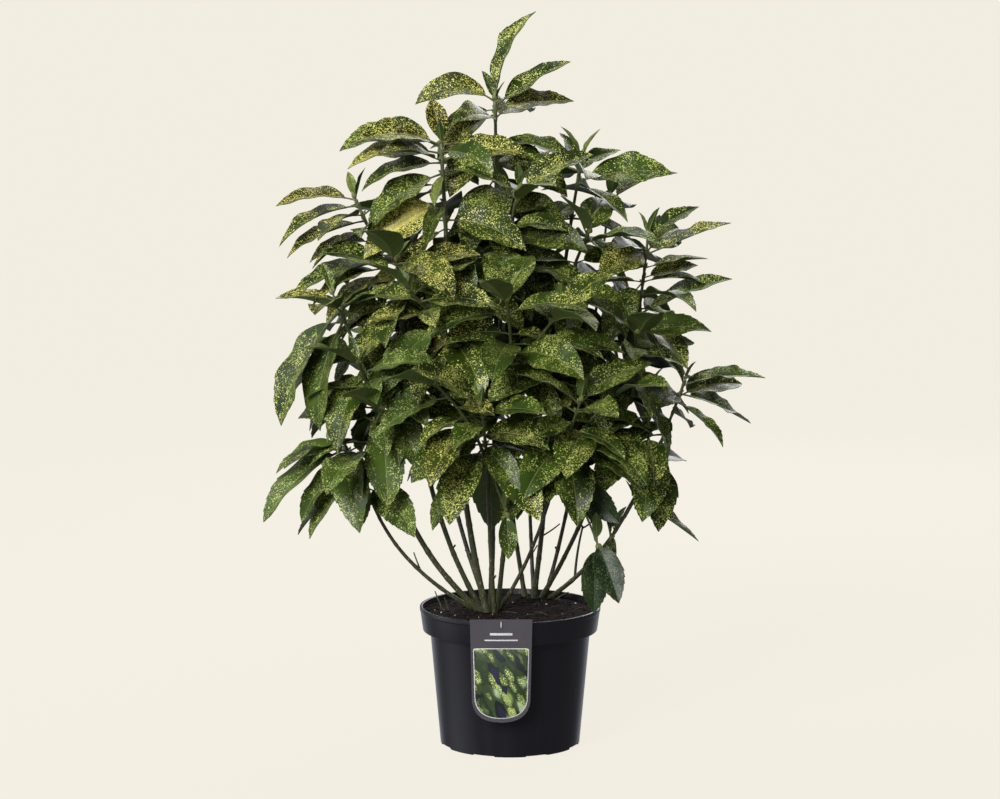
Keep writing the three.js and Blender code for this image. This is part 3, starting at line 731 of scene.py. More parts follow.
def sleeve_round(line, radius_at, sides, steps, level_foot=True):
    """A tube along a line. radius_at gives its radius from a share of the line and a turn."""
    key = (sides, steps)
    if key not in sleeves:
        sleeves[key] = sleeve_pattern(sides, steps)
    pattern = sleeves[key]
    share = pattern.places[:, 2]
    turn = np.arctan2(pattern.places[:, 1], pattern.places[:, 0])
    along = line.heading(share)
    if level_foot:
        along[share < 0.5 / steps] = (0, 0, 1)
    right = np.cross((0, 1, 0), along)
    right /= np.linalg.norm(right, axis=1, keepdims=True)
    back = np.cross(along, right)
    radius = radius_at(share, turn)[:, None]
    places = line.at(share) + radius * (right * np.cos(turn)[:, None] + back * np.sin(turn)[:, None])
    return pattern, places


# Leaves

THICKNESS = 0.0062
TOOTH_STEPS = [0.0, 0.34, 0.68, 0.93]
BLADE_COLUMNS = [-1, -0.72, -0.38, -0.06, 0, 0.06, 0.38, 0.72, 1]


def blade_stations(teeth, first_tooth, last_tooth):
    """Shares of a blade where its outline has a station, and how far each tooth is out there."""
    plain = first_tooth * np.linspace(0, 1, 12)[:-1] ** 1.2
    pitch = (last_tooth - first_tooth) / teeth
    toothed = [first_tooth + (tooth + step) * pitch for tooth in range(teeth) for step in TOOTH_STEPS]
    out = [0.0] * len(plain) + [step / TOOTH_STEPS[-1] for _ in range(teeth) for step in TOOTH_STEPS]
    ends = [last_tooth, blend(last_tooth, 1, 0.4), blend(last_tooth, 1, 0.75), 1.0]
    return np.array([*plain, *toothed, *ends]), np.array([*out, 0, 0, 0, 0])


def blade_width(share, fullness, point):
    """The half width of a blade, 1 where it is widest."""
    crest = fullness / (fullness + point)
    widest = crest ** fullness * (1 - crest) ** point
    return np.maximum(share, 1e-4) ** fullness * np.maximum(1 - share, 0) ** point / widest


TOOTH_SWEEP = 0.55
MIDRIB_DEPTH = 0.009
UPPER_FACING = 0.35
PETIOLE_RADII = (0.017, 0.010)
PETIOLE_LENGTH = PETIOLE_SHARE + 0.075
PETIOLE_START = -0.015


def leaf_pattern(teeth, first_tooth, last_tooth, tooth_size, fullness, point):
    """A leaf of length 1 along X: a grid drawn to a toothed outline, folded and given its thickness,
    with a round petiole. Faces are of three kinds: upper, under and petiole."""
    stations, out = blade_stations(teeth, first_tooth, last_tooth)
    widths = blade_width(stations, fullness, point)
    columns = len(BLADE_COLUMNS) - 1
    bm = bmesh.new()
    bmesh.ops.create_grid(bm, x_segments=len(stations) - 1, y_segments=columns, size=1)
    fold = math.radians(LEAF_FOLD)
    for vertex in bm.verts:
        station = round((vertex.co.x + 1) / 2 * (len(stations) - 1))
        side = BLADE_COLUMNS[round((vertex.co.y + 1) / 2 * columns)]
        edge = abs(side) ** 3 * out[station] * tooth_size * (1.25 - stations[station])
        half = LEAF_WIDTH_RATIO / 2 * widths[station]
        share = min(stations[station] + edge * TOOTH_SWEEP, 1)
        reach = abs(side) * half + edge * (half > 0)
        lift = math.sin(fold) * reach * (1.18 - 0.24 * abs(side))
        vertex.co = (PETIOLE_SHARE + (1 - PETIOLE_SHARE) * share,
                     math.copysign(reach * math.cos(fold), side) if side else 0, lift)
    bmesh.ops.remove_doubles(bm, verts=bm.verts, dist=1e-5)
    bmesh.ops.recalc_face_normals(bm, faces=bm.faces)
    if sum(face.normal.z for face in bm.faces) < 0:
        bmesh.ops.reverse_faces(bm, faces=bm.faces)
    bmesh.ops.solidify(bm, geom=bm.faces[:], thickness=THICKNESS)
    bmesh.ops.recalc_face_normals(bm, faces=bm.faces)
    for vertex in bm.verts:
        facing = vertex.normal.z
        if abs(vertex.co.y) < 1e-6 and facing < 0:
            vertex.co.z -= MIDRIB_DEPTH * (1.05 - vertex.co.x)
    blade_faces = len(bm.faces)
    kinds = [0 if face.normal.z > UPPER_FACING else 1 for face in bm.faces]
    stalk = bmesh.ops.create_cone(bm, cap_ends=True, segments=6, radius1=PETIOLE_RADII[0],
                                  radius2=PETIOLE_RADII[1], depth=PETIOLE_LENGTH)["verts"]
    stalk_edges = {edge for vertex in stalk for edge in vertex.link_edges
                   if abs(edge.verts[0].co.z - edge.verts[1].co.z) > 0.01}
    bmesh.ops.subdivide_edges(bm, edges=list(stalk_edges), cuts=3)
    for vertex in bm.verts:
        if all(face.index == -1 or face.index >= blade_faces for face in vertex.link_faces):
            x, y, z = vertex.co
            share = z + PETIOLE_LENGTH / 2 + PETIOLE_START
            slim = 0.72 + 0.28 * abs(share / PETIOLE_SHARE - 0.6)
            vertex.co = (share, y * slim, x * slim - THICKNESS * 0.4)
    bm.faces.index_update()
    kinds += [2] * (len(bm.faces) - blade_faces)
    return Pattern(bm, kinds)


# Leaves high on a shoot are slim, with a few small teeth near the point. Those low down are broad and
# coarsely toothed.
SLIM_PATTERNS = [
    leaf_pattern(3, 0.62, 0.90, 0.016, 0.78, 1.06),
    leaf_pattern(4, 0.56, 0.92, 0.018, 0.72, 1.00),
    leaf_pattern(2, 0.70, 0.88, 0.012, 0.82, 1.12),
    leaf_pattern(4, 0.50, 0.88, 0.022, 0.74, 1.08),
]
BROAD_PATTERNS = [
    leaf_pattern(4, 0.50, 0.92, 0.026, 0.68, 0.94),
    leaf_pattern(5, 0.42, 0.93, 0.022, 0.72, 1.00),
    leaf_pattern(4, 0.56, 0.90, 0.030, 0.66, 0.92),
]
TILE_WIDTH = 0.30
TILE_SHARES = (-0.03, 1.01)


WIDTH_JITTER = 0.16
TWIST = 34
SWEEP = 0.10
ROCK = 0.022
RUFFLE = 0.016
MIDRIB_WAVE = 0.020
TIP_DROOP = 0.02


def leaf_places(pattern, leaf, shoot, number, width):
    """A leaf pattern bent along its midrib, with its own width, twist, sweep and waved margin."""
    def luck(purpose):
        return chance(shoot, number, purpose) - 0.5
    share, side, lift = pattern.places.T
    blade = np.clip((share - PETIOLE_SHARE) / (1 - PETIOLE_SHARE), 0, 1)
    side = side * np.where(blade > 0, width * (1 + WIDTH_JITTER * luck(11)), 1)
    twist = math.radians(TWIST) * luck(12) * blade ** 1.3
    sweep = SWEEP * luck(13) * blade ** 2 * (1 - 0.55 * blade)
    waves = 1.2 + luck(14)
    rock = np.sin(2 * math.pi * (waves * blade + luck(15))) * np.sign(side)
    ruffle = np.sin(2 * math.pi * (2.3 * waves * blade + luck(16)))
    margin = (np.abs(side) / (LEAF_WIDTH_RATIO / 2)) ** 1.6
    lift = lift + margin * (ROCK * rock + RUFFLE * ruffle) * np.sin(math.pi * blade) ** 0.5
    lift = lift + MIDRIB_WAVE * luck(17) * np.sin(2 * math.pi * blade) - TIP_DROOP * (blade ** 4)
    centre, across, outward = leaf.midrib(share, twist[:, None])
    length = leaf.length
    return centre + across * ((side + sweep) * length)[:, None] + outward * (lift * length)[:, None]


def leaf_tiles(pattern, order, leaves):
    """Each leaf's two faces have a tile of their own on the sheet that colours are kept on."""
    tiles = 2 * leaves
    columns = math.ceil(math.sqrt(tiles * (TILE_SHARES[1] - TILE_SHARES[0]) / (2 * TILE_WIDTH)))
    rows = math.ceil(tiles / columns)
    kinds = np.array(pattern.kinds)[pattern.face_of_corner]
    tile = 2 * order + (kinds == 1)
    places = pattern.places[pattern.corners]
    across = np.clip(places[:, 1] / (2 * TILE_WIDTH) + 0.5, 0.02, 0.98)
    along = (places[:, 0] - TILE_SHARES[0]) / (TILE_SHARES[1] - TILE_SHARES[0])
    along = np.clip(along, 0.01, 0.99)
    return np.stack([(tile % columns + across) / columns, (tile // columns + along) / rows], axis=1)


# Leaves of a shoot's youngest pair are numbered from here.
NEWEST = 200
# Shoots that stand in the shade of others, and how much darker their leaves are.
SHADED = {9: 0.55, 10: 0.7, 11: 0.6, 12: 0.7, 14: 0.45, 19: 0.2, 22: 0.2, 24: 2.0, 25: 0.2, 26: 0.2,
          27: 0.4, 32: 0.4}


# Light rises with height, falls towards the right and the back, and differs a little by luck.
LIGHT_START = 420
LIGHT_RISE = 420
LIGHT_FALL = 1100
LIGHT_LUCK = 0.7
FULL_LIGHT = 1.14
BRIGHT = 0.66
HALF_SHADE = 0.16
DEEP_SHADE = -0.5
# Low on the left, most leaves are plainer and paler.
LOW_LEFT = -130
LOW_HEIGHT = 640
LOW_LIGHT = -0.3


def leaf_colour(leaf, shoot, number):
    """Which finish a leaf has: bronze and olive high up on the left in the light, dusky in the shade."""
    luck, kind = chance(shoot, number, 21), chance(shoot, number, 22)
    middle = leaf.midrib(0.5)[0]
    if number >= NEWEST:
        return FRESH if luck > 0.6 else PLAIN
    light = (middle[2] - LIGHT_START) / LIGHT_RISE - middle[0] / LIGHT_FALL - middle[1] / LIGHT_FALL
    light += LIGHT_LUCK * (luck - 0.5)
    light -= SHADED.get(shoot, 0)
    low_left = middle[0] < LOW_LEFT and middle[2] < LOW_HEIGHT
    if low_left and kind > 0.35 and light > LOW_LIGHT:
        return PLAIN
    if light > FULL_LIGHT:
        return BRONZE if kind > 0.7 else OLIVE if kind > 0.25 else DEEP
    if light > BRIGHT:
        return OLIVE if kind > 0.62 else MID if kind > 0.15 else DEEP
    if light > HALF_SHADE:
        return MID if kind > 0.5 else DEEP
    if light > DEEP_SHADE:
        return DEEP if kind > 0.45 else SHADE
    return PAINTED_DEEP_SHADE


# Canes, twigs and buds

NODE_SPACING = 52
FOOT_FLARE = 1.6
FLARE_REACH = 12
CANE_KNOT = (0.75, 3.2)
TWIG_KNOT = (1.0, 2.6)
CANE_RING = 4.2
TWIG_RING = 4.5


def swelling(share, length, depths, height, reach):
    """How much a limb swells round its leaf joints, where it is this far from its tip."""
    below = (1 - share) * length
    return sum(height * np.exp(-((below - depth) / reach) ** 2) for depth in depths)


def ridges(share, turn, length, seed):
    """Low ridges that run up a limb and wander round it."""
    along = share * length
    return (0.20 * np.sin(3 * turn + along * 0.031 + seed) * np.sin(along * 0.047 + 2 * seed)
            + 0.15 * np.sin(5 * turn - along * 0.057 + 3 * seed)
            + 0.10 * np.sin(8 * turn + along * 0.11 + 5 * seed)
            + 0.09 * np.sin(along * 0.63 + 2 * np.sin(turn + seed)))


def cane_places(line, girth, order):
    length = line.length()
    depths = np.arange(18 + 9 * (order % 3), length, NODE_SPACING + 3 * (order % 4))

    def radius(share, turn):
        plain = blend(CANE_FOOT_RADIUS, CANE_TIP_RADIUS, share)
        flare = FOOT_FLARE * np.exp(-share * length / FLARE_REACH)
        knots = swelling(share, length, depths, *CANE_KNOT)
        return girth * BARK_GIRTH * (plain + flare + knots + ridges(share, turn, length, order * 1.7))
    return sleeve_round(line, radius, 14, max(24, round(length / CANE_RING)))


def twig_places(line, foot_radius, tip_radius, depths, shoot):
    length = line.length()

    def radius(share, turn):
        plain = blend(foot_radius, tip_radius, share)
        tip = np.sqrt(np.clip(1 - ((share - 0.97) / 0.03).clip(0, 1) ** 2, 0.02, 1))
        return (plain + swelling(share, length, depths, *TWIG_KNOT)
                + 0.5 * ridges(share, turn, length, shoot * 2.3)) * tip
    return sleeve_round(line, radius, 10, max(20, round(length / TWIG_RING)), level_foot=False)


def bud_pattern():
    """A pointed bud of length 1 along Z, of two scales that close over each other."""
    bm = bmesh.new()
    bmesh.ops.create_uvsphere(bm, u_segments=8, v_segments=7, radius=0.5)
    for vertex in bm.verts:
        share = vertex.co.z + 0.5
        slim = 0.62 * (1.25 - share) * (1 + 0.16 * math.cos(2 * math.atan2(vertex.co.y, vertex.co.x)))
        vertex.co.x *= slim
        vertex.co.y *= slim
        vertex.co.z = share
    return Pattern(bm)


BUD = bud_pattern()


def bud_places(place, direction, length):
    direction = direction / np.linalg.norm(direction)
    right = np.cross((0.1, 1, 0), direction)
    right /= np.linalg.norm(right)
    back = np.cross(direction, right)
    x, y, z = (BUD.places * length).T
    return place + right * x[:, None] + back * y[:, None] + direction * z[:, None]


BARK_SLOT, BUD_SLOT = 0, 1
BROAD_BELOW = 600
TIP_MATCH = 0.2
AXIL_BUD = 6
TIP_BUD = (9, 17)

# Smaller leaves fill the inside of the crown, between the pairs that make its outline.
INNER_DEPTHS = [46, 66, 118, 156, 180, 252, 276]
INNER_FIRST = 40
INNER_SIZE = 0.74
INNER_WIDTH = 0.92
INNER_TURN = 45
INNER_REACH = 26

# The youngest pair stands upright at a shoot's tip.
NEWEST_DEPTH = 3
NEWEST_BEND = 18
NEWEST_TURN = 40
NEWEST_RISE = (64, 76)
NEWEST_LENGTH = (34, 60)
NEWEST_WIDTH = 0.72

# Leaves that differ from their neighbours, by shoot and place on it. Those given the shade finish are
# painted shade.
CHOSEN = {(7, 7): GOLDEN, (7, 8): FRESH, (7, 3): GOLDEN, (7, 6): DEEP, (7, 12): SHADE, (3, 1): DEEP,
          (21, 0): PLAIN, (18, 0): SHADE}
SLIM_LEAVES = {(7, 12): 0.5, (8, 1): 0.5}

crown_distance = nearness([f"foliage_{order + 1:02d}" for order in range(len(CANES))])
cane_lines = [cane_line(plan["base"], plan["top"], plan.get("lean", CANE_LEAN)) for plan in CANES]


def fitted(wanted, tip_distance):
    """A wanted leaf, turned as its solid is, or None where the solids leave it out."""
    for turn, dip in TURNS:
        leaf = wanted.turned(turn, dip)
        if tip_distance(leaf.midrib(1.0)[0]) < TIP_MATCH:
            return leaf
    return None


def axil_bud(leaf):
    """A bud in the angle between a leaf and its twig."""
    out = leaf.midrib(0.06)[0] - leaf.root
    axil = leaf.root + out * 0.3 + np.array([0, 0, 2.2])
    return bud_places(axil, out + (0, 0, 9), AXIL_BUD)


def inner_leaves(leader, shoot, line):
    """Smaller leaves between the pairs, where they stay close to the solids of the crown."""
    bare = leader.get("bare", BARE_FOOT)
    depths = [depth for depth in INNER_DEPTHS if depth < line.length() - bare]
    pairs = paired_leaves(depths, leader["phase"] + INNER_TURN, shoot, line, INNER_FIRST, INNER_SIZE)
    return [(leaf, shoot, count, INNER_WIDTH) for count, (leaf, _) in enumerate(pairs, 2 * INNER_FIRST)
            if all(crown_distance(leaf.midrib(share)[0]) < INNER_REACH for share in (0.6, 1.0))]


def newest_leaves(leader, shoot, line):
    leaves = []
    root = line.at(1 - NEWEST_DEPTH / line.length())
    for side in (0, 1):
        azimuth = leader["phase"] + 90 + 180 * side + NEWEST_TURN * (chance(shoot, side, 32) - 0.5)
        rise = blend(*NEWEST_RISE, chance(shoot, side, 33))
        size = blend(*NEWEST_LENGTH, chance(shoot, side, 34))
        leaf = Leaf(root, azimuth, rise, NEWEST_BEND, size, outward_roll(line.tip, azimuth))
        leaves.append((leaf, shoot, NEWEST + side, NEWEST_WIDTH))
    return leaves


def grow_shoot(leader, shoot, line, radii, tip_distance, twigs):
    """Adds a shoot's twig and buds to the heap. Its leaves come back, each with its shoot, its number
    there and how broad it is."""
    wishes = wanted_leaves(leader, shoot, line)
    joints = sorted({depth for _, depth in wishes})
    twigs.add(*twig_places(line, *radii, joints, shoot), [BARK_SLOT])
    end = line.heading(1.0)
    bud = blend(*TIP_BUD, chance(shoot, 0, 31))
    twigs.add(BUD, bud_places(line.tip - end * 2, end, bud), [BUD_SLOT])
    grown = []
    for count, (wanted, _) in enumerate(wishes):
        leaf = fitted(wanted, tip_distance)
        if leaf:
            grown.append((leaf, shoot, count, 1.0))
            twigs.add(BUD, axil_bud(leaf), [BUD_SLOT])
    return grown + inner_leaves(leader, shoot, line) + newest_leaves(leader, shoot, line)


def leaf_heap(grown):
    """All the leaves of a mass, each with its blade's shape, finish and tile."""
    blades = Heap()
    for place, (leaf, shoot, count, width) in enumerate(grown):
        patterns = BROAD_PATTERNS if leaf.root[2] < BROAD_BELOW else SLIM_PATTERNS
        pattern = patterns[int(chance(shoot, count, 41) * len(patterns))]
        places = leaf_places(pattern, leaf, shoot, count, SLIM_LEAVES.get((shoot, count), width))
        colour = CHOSEN.get((shoot, count), leaf_colour(leaf, shoot, count))
        flat = np.stack([pattern.places[:, 1], pattern.places[:, 0]], axis=1) * leaf.length
        tiles = leaf_tiles(pattern, place, len(grown))
        blades.add(pattern, places, [colour, UNDERSIDE_SLOT, PETIOLE_SLOT], flat, tiles)
    return blades


shoot = 0
for order, (plan, line) in enumerate(zip(CANES, cane_lines)):
    number = f"{order + 1:02d}"
    girth = plan["girth"]
    cane = Heap()
    cane.add(*cane_places(line, girth, order), [0])
    settle(cane.piece(f"barked_cane_{number}", [cane_bark], 60), "cane", f"cane_{number}")

    tip_distance = nearness([f"foliage_{number}"])
    direction = line.heading(1.0)
    start = line.at(1.0) + direction * MEET_GAP
    stem = leader_line(start, direction, plan["leaders"][0]["tip"])
    twigs = Heap()
    grown = []
    for rank, leader in enumerate(plan["leaders"]):
        shoot += 1
        fork = FORK_STEP * rank
        shoot_line = stem if rank == 0 else leader_line(stem.at(fork), stem.heading(fork), leader["tip"])
        radii = ((SHOOT_FOOT_RADIUS - FORK_SLIMMING * rank) * girth, SHOOT_TIP_RADIUS * girth)
        grown += grow_shoot(leader, shoot, shoot_line, radii, tip_distance, twigs)
    settle(twigs.piece(f"twigs_{number}", [twig_bark, bud_green], 60), "cane", f"foliage_{number}")
    settle(leaf_heap(grown).piece(f"leaves_{number}", leaf_slots), "foliage", f"foliage_{number}")


# Pot

POT_HEIGHT = 215
RIM_RADIUS = 140
RIM_LOWER_RADIUS = 135
LEDGE = POT_HEIGHT - 37
BODY_TOP_RADIUS = 124
FOOT_RADIUS = 108
WALL = 2.4
RIM_WALL = 4.4
FLOOR = 3
NOTCHES = 8
NOTCH_WIDTH = 34
NOTCH_RISE = 4
NOTCH_DEPTH = 1.4


def spun(profile, steps):
    """A solid of revolution about the upright axis, from radii and heights that start and end there."""
    bm = bmesh.new()
    line = [bm.verts.new((radius * MM, 0, height * MM)) for radius, height in profile]
    edges = [bm.edges.new(pair) for pair in zip(line, line[1:])]
    bmesh.ops.spin(bm, geom=line + edges, cent=(0, 0, 0), axis=(0, 0, 1), dvec=(0, 0, 0),
                   angle=2 * math.pi, steps=steps, use_merge=True, use_duplicate=False)
    bmesh.ops.remove_doubles(bm, verts=bm.verts, dist=1e-6)
    bmesh.ops.recalc_face_normals(bm, faces=bm.faces)
    return bm


ROUND_STEPS = 3


def rounded(corners, cut):
    """A profile whose corners are cut round, as far as their neighbours leave room."""
    points = [np.array(corner, float) for corner in corners]
    out = [points[0]]
    for before, corner, after in zip(points, points[1:], points[2:]):
        reach = min(cut, np.linalg.norm(corner - before) / 2.1, np.linalg.norm(after - corner) / 2.1)
        start = corner + (before - corner) / np.linalg.norm(before - corner) * reach
        end = corner + (after - corner) / np.linalg.norm(after - corner) * reach
        out += [tuple(Line([*start, 0], [*corner, 0], [*end, 0]).at(step / ROUND_STEPS)[:2])
                for step in range(ROUND_STEPS + 1)]
    return [tuple(point) for point in out] + [tuple(points[-1])]


pot_profile = rounded([
    (0, 0.8), (FOOT_RADIUS - 9, 0.8), (FOOT_RADIUS - 7, 0), (FOOT_RADIUS, 0),
    (FOOT_RADIUS + 0.36, NOTCH_RISE + 0.2),
    (BODY_TOP_RADIUS, LEDGE), (RIM_LOWER_RADIUS, LEDGE), (RIM_RADIUS - 0.9, POT_HEIGHT - 7.5),
    (RIM_RADIUS, POT_HEIGHT - 6), (RIM_RADIUS, POT_HEIGHT), (RIM_RADIUS - RIM_WALL, POT_HEIGHT),
    (RIM_LOWER_RADIUS - RIM_WALL, LEDGE + WALL), (BODY_TOP_RADIUS - WALL, LEDGE + WALL),
    (FOOT_RADIUS - WALL, FLOOR), (0, FLOOR),
], 1.3)
pot_bm = spun(pot_profile, 200)
for vertex in pot_bm.verts:
    radius = math.hypot(vertex.co.x, vertex.co.y)
    if radius > (FOOT_RADIUS - 3) * MM and vertex.co.z < NOTCH_RISE * 0.6 * MM:
        turn = math.degrees(math.atan2(vertex.co.y, vertex.co.x)) % (360 / NOTCHES) - 180 / NOTCHES
        if abs(math.radians(turn)) * FOOT_RADIUS < NOTCH_WIDTH / 2:
            vertex.co.z += (NOTCH_RISE - 0.6) * MM
            slim = 1 - NOTCH_DEPTH * MM / radius
            vertex.co.x *= slim
            vertex.co.y *= slim
settle(piece_from(pot_bm, "nursery_pot", pot_finish(), 40), "pot", "pot")


# Soil

SOIL_RADIUS = RIM_RADIUS - RIM_WALL - 1.5
rng = np.random.default_rng(7)
feet = np.array([plan["base"] for plan in CANES], float)


def soil_height(x, y):
    """The soil's surface: a low mound with dips, a little raised round the canes' feet."""
    radius = math.hypot(x, y) / SOIL_RADIUS
    nearest = np.min(np.hypot(feet[:, 0] - x, feet[:, 1] - y))
    swell = 1.3 * math.sin(x * 0.045 + 1) * math.sin(y * 0.052 + 2) + 0.8 * math.sin(x * 0.13 - y * 0.11)
    crumbs = 0.5 * math.sin(x * 0.61 + 2 * math.sin(y * 0.37)) * math.sin(y * 0.57 + x * 0.21)
    return SOIL_LEVEL - 1.2 + (swell + crumbs) * (1 - radius ** 6) + 1.2 * math.exp(-nearest / 14)


soil_profile = [(0, SOIL_LEVEL)] + [(SOIL_RADIUS * ring / 46, SOIL_LEVEL) for ring in range(1, 47)]
soil_profile += [(RIM_LOWER_RADIUS - RIM_WALL - 1, LEDGE + 4), (BODY_TOP_RADIUS - WALL - 1, LEDGE + 3.4),
                 (FOOT_RADIUS - WALL - 0.6, FLOOR + 0.5), (0, FLOOR + 0.5)]
soil_bm = spun(soil_profile, 150)
for vertex in soil_bm.verts:
    if vertex.co.z > (SOIL_LEVEL - 1) * MM:
        vertex.co.z = soil_height(vertex.co.x / MM, vertex.co.y / MM) * MM
soil_dark = soil_finish("peaty_soil", (0.0044, 0.0026, 0.0026), (0.014, 0.0084, 0.0076), 260)
settle(piece_from(soil_bm, "soil_bed", soil_dark, 180), "soil", "potting_soil")


def grain_pattern(seed):
    """An uneven crumb of about unit size."""
    bm = bmesh.new()
    bmesh.ops.create_icosphere(bm, subdivisions=1, radius=0.5)
    shape = np.random.default_rng(seed)
    for vertex in bm.verts:
        vertex.co *= 0.75 + 0.5 * shape.random()
    return Pattern(bm)


GRAINS = [grain_pattern(seed) for seed in range(5)]


CLEAR_OF_CANES = 7
CLEAR_OF_RIM = 4


def scatter(name, finishes, count, low, high, flat):
    """Grains lie on the soil, half sunk in it, between the canes."""
    heap = Heap()
    while count:
        radius, turn = (SOIL_RADIUS - CLEAR_OF_RIM) * math.sqrt(rng.random()), 2 * math.pi * rng.random()
        x, y = radius * math.cos(turn), radius * math.sin(turn)
        size = low + (high - low) * rng.random() ** 2
        if np.min(np.hypot(feet[:, 0] - x, feet[:, 1] - y)) < CLEAR_OF_CANES + size / 2:
            continue
        spin = 2 * math.pi * rng.random()
        stretch = np.array([size * (0.8 + 0.6 * rng.random()), size, size * flat])
        turned = np.array([[math.cos(spin), math.sin(spin), 0], [-math.sin(spin), math.cos(spin), 0],
                           [0, 0, 1]])
        pattern = GRAINS[int(rng.integers(len(GRAINS)))]
        places = (pattern.places * stretch) @ turned
        heap.add(pattern, places + (x, y, soil_height(x, y) + size * flat * 0.18),
                 [int(rng.integers(len(finishes)))])
        count -= 1
    settle(heap.piece(name, finishes, 30), "soil")


bark_crumb = plain_finish("bark_crumb", (0.024, 0.012, 0.010), 0.9, 700, 0.0004, 0.2)
dark_crumb = plain_finish("dark_crumb", (0.008, 0.005, 0.0046), 0.95, 700, 0.0004, 0.2)
pale_grain = plain_finish("pale_grain", (0.52, 0.45, 0.40), 0.9, 900, 0.0003, 0.2)
scatter("soil_crumbs", [dark_crumb, bark_crumb, dark_crumb], 900, 1.6, 6.5, 0.6)
scatter("pale_grains", [pale_grain], 24, 1.3, 3.0, 0.8)


# Pruned stubs and fallen twigs

# Thin twigs that leave a cane or the soil: where they start, bend and end, and their radius.
THIN_TWIGS = [
    ([-106, 20, 206], [-112, 20, 220], [-117, 22, 233], 1.3),
    ([-96, 6, 206], [-98, 5, 216], [-102, 4, 226], 1.2),
    ([70, 78, 206], [80, 74, 216], [92, 70, 222], 1.3),
    ([114, 60, 326], [106, 60, 343], [93, 60, 366], 1.6),
    ([114, 60, 326], [127, 59, 332], [141, 58, 351], 1.5),
]
# A low twig forks off one cane: its bend, its end and its radius. Two thin twigs stand on its end.
FORK_CANE = 7
FORK_SHARE = 0.3
FORK_TWIG = ([104, 66, 286], [114, 60, 329], 2.2)
# Side twigs: their cane, the share of it where they start, azimuth, rise and length.
SIDE_TWIGS = [(0, 0.42, 150, 62, 30), (2, 0.5, 30, 40, 26), (5, 0.3, 350, 30, 34), (9, 0.45, 20, 50, 30)]
SIDE_TWIG_RADIUS = 1.4
# Short nubs are left on some canes at these shares.
NUB_SHARES = (0.3, 0.62)
NUB_CHANCE = 0.45
NUB_RADIUS = 1.9
stubs = Heap()


def add_stub(foot, bend, end, radius):
    stubs.add(*sleeve_round(Line(foot, bend, end), lambda share, turn: radius * (1 - 0.3 * share), 8, 10,
                            level_foot=False), [0])


def add_side_twig(line, share, azimuth, rise, length, radius):
    """A twig that leaves a cane inside its bark and turns a little upward."""
    azimuth, rise = math.radians(azimuth), math.radians(rise)
    out = np.array([math.cos(azimuth) * math.cos(rise), math.sin(azimuth) * math.cos(rise), math.sin(rise)])
    foot = line.at(share)
    add_stub(foot, foot + out * length * 0.55, foot + out * length + (0, 0, length * 0.12), radius)


for foot, bend, end, radius in THIN_TWIGS:
    add_stub(foot, bend, end, radius)
add_stub(cane_lines[FORK_CANE].at(FORK_SHARE), *FORK_TWIG)
for order, share, azimuth, rise, length in SIDE_TWIGS:
    add_side_twig(cane_lines[order], share, azimuth, rise, length, SIDE_TWIG_RADIUS)
for order, line in enumerate(cane_lines):
    for place, share in enumerate(NUB_SHARES):
        if chance(order, place, 51) > 1 - NUB_CHANCE:
            add_side_twig(line, share, 360 * chance(order, place, 52), 35 + 30 * chance(order, place, 53),
                          6 + 5 * chance(order, place, 54), NUB_RADIUS)
settle(stubs.piece("pruned_stubs", [cane_bark], 60), "cane")

FALLEN_TWIGS = 16
LITTER_REACH = 112
litter = Heap()
for stick in range(FALLEN_TWIGS):
    radius, turn = LITTER_REACH * math.sqrt(rng.random()), 2 * math.pi * rng.random()
    x, y = radius * math.cos(turn), radius * math.sin(turn)
    heading = 2 * math.pi * rng.random()
    reach = 9 + 16 * rng.random()
    ends = [np.array([x + side * reach * math.cos(heading), y + side * reach * math.sin(heading)])
            for side in (-0.5, 0.5)]
    ends = [end * min(1, (SOIL_RADIUS - 6) / np.linalg.norm(end)) for end in ends]
    low, high = ([*end, soil_height(*end) + 0.7] for end in ends)
    stick_line = Line(low, [*((ends[0] + ends[1]) / 2), soil_height(x, y) + 3.4 * rng.random()], high)
    litter.add(*sleeve_round(stick_line, lambda share, turn: 0.75 - 0.3 * share + 0.1 * np.sin(3 * turn),
                             6, 8, level_foot=False), [0])
settle(litter.piece("fallen_twigs", [litter_bark], 60), "soil")


# Label

CARD_FACE = -(RIM_RADIUS + 0.3 + 1.2)
CARD_TOP = POT_HEIGHT + 5.7
LABEL_LEFT = -14
PANEL_TOP = CARD_TOP - 45
PANEL_HEIGHT = 106
PANEL_HALF = 41
PANEL_FOOT_HALF = 39
PANEL_CORNER = 4
PANEL_FOOT_RISE = 30
PANEL_ARC = 12


def panel_outline(grow=0.0):
    """The picture panel: square shoulders with small rounds, and a broad round foot."""
    half, foot = PANEL_HALF + grow, PANEL_FOOT_HALF + grow
    top, bottom = PANEL_TOP + grow, PANEL_TOP - PANEL_HEIGHT - grow
    left = [(-foot, bottom + PANEL_FOOT_RISE), (-half, top - PANEL_CORNER)]
    shoulder = Line([-half, 0, top - PANEL_CORNER], [-half, 0, top], [-half + PANEL_CORNER, 0, top])
    left += [tuple(shoulder.at(step / 4)[[0, 2]]) for step in range(1, 5)]
    right = [(-x, z) for x, z in reversed(left)]
    foot_points = []
    for step in range(1, 2 * PANEL_ARC):
        share = step / (2 * PANEL_ARC)
        first = Line([foot, 0, bottom + PANEL_FOOT_RISE], [foot * 0.92, 0, bottom], [0, 0, bottom])
        second = Line([0, 0, bottom], [-foot * 0.92, 0, bottom], [-foot, 0, bottom + PANEL_FOOT_RISE])
        at = first.at(share * 2) if share <= 0.5 else second.at(share * 2 - 1)
        foot_points.append((at[0], at[2]))
    return left + right + foot_points


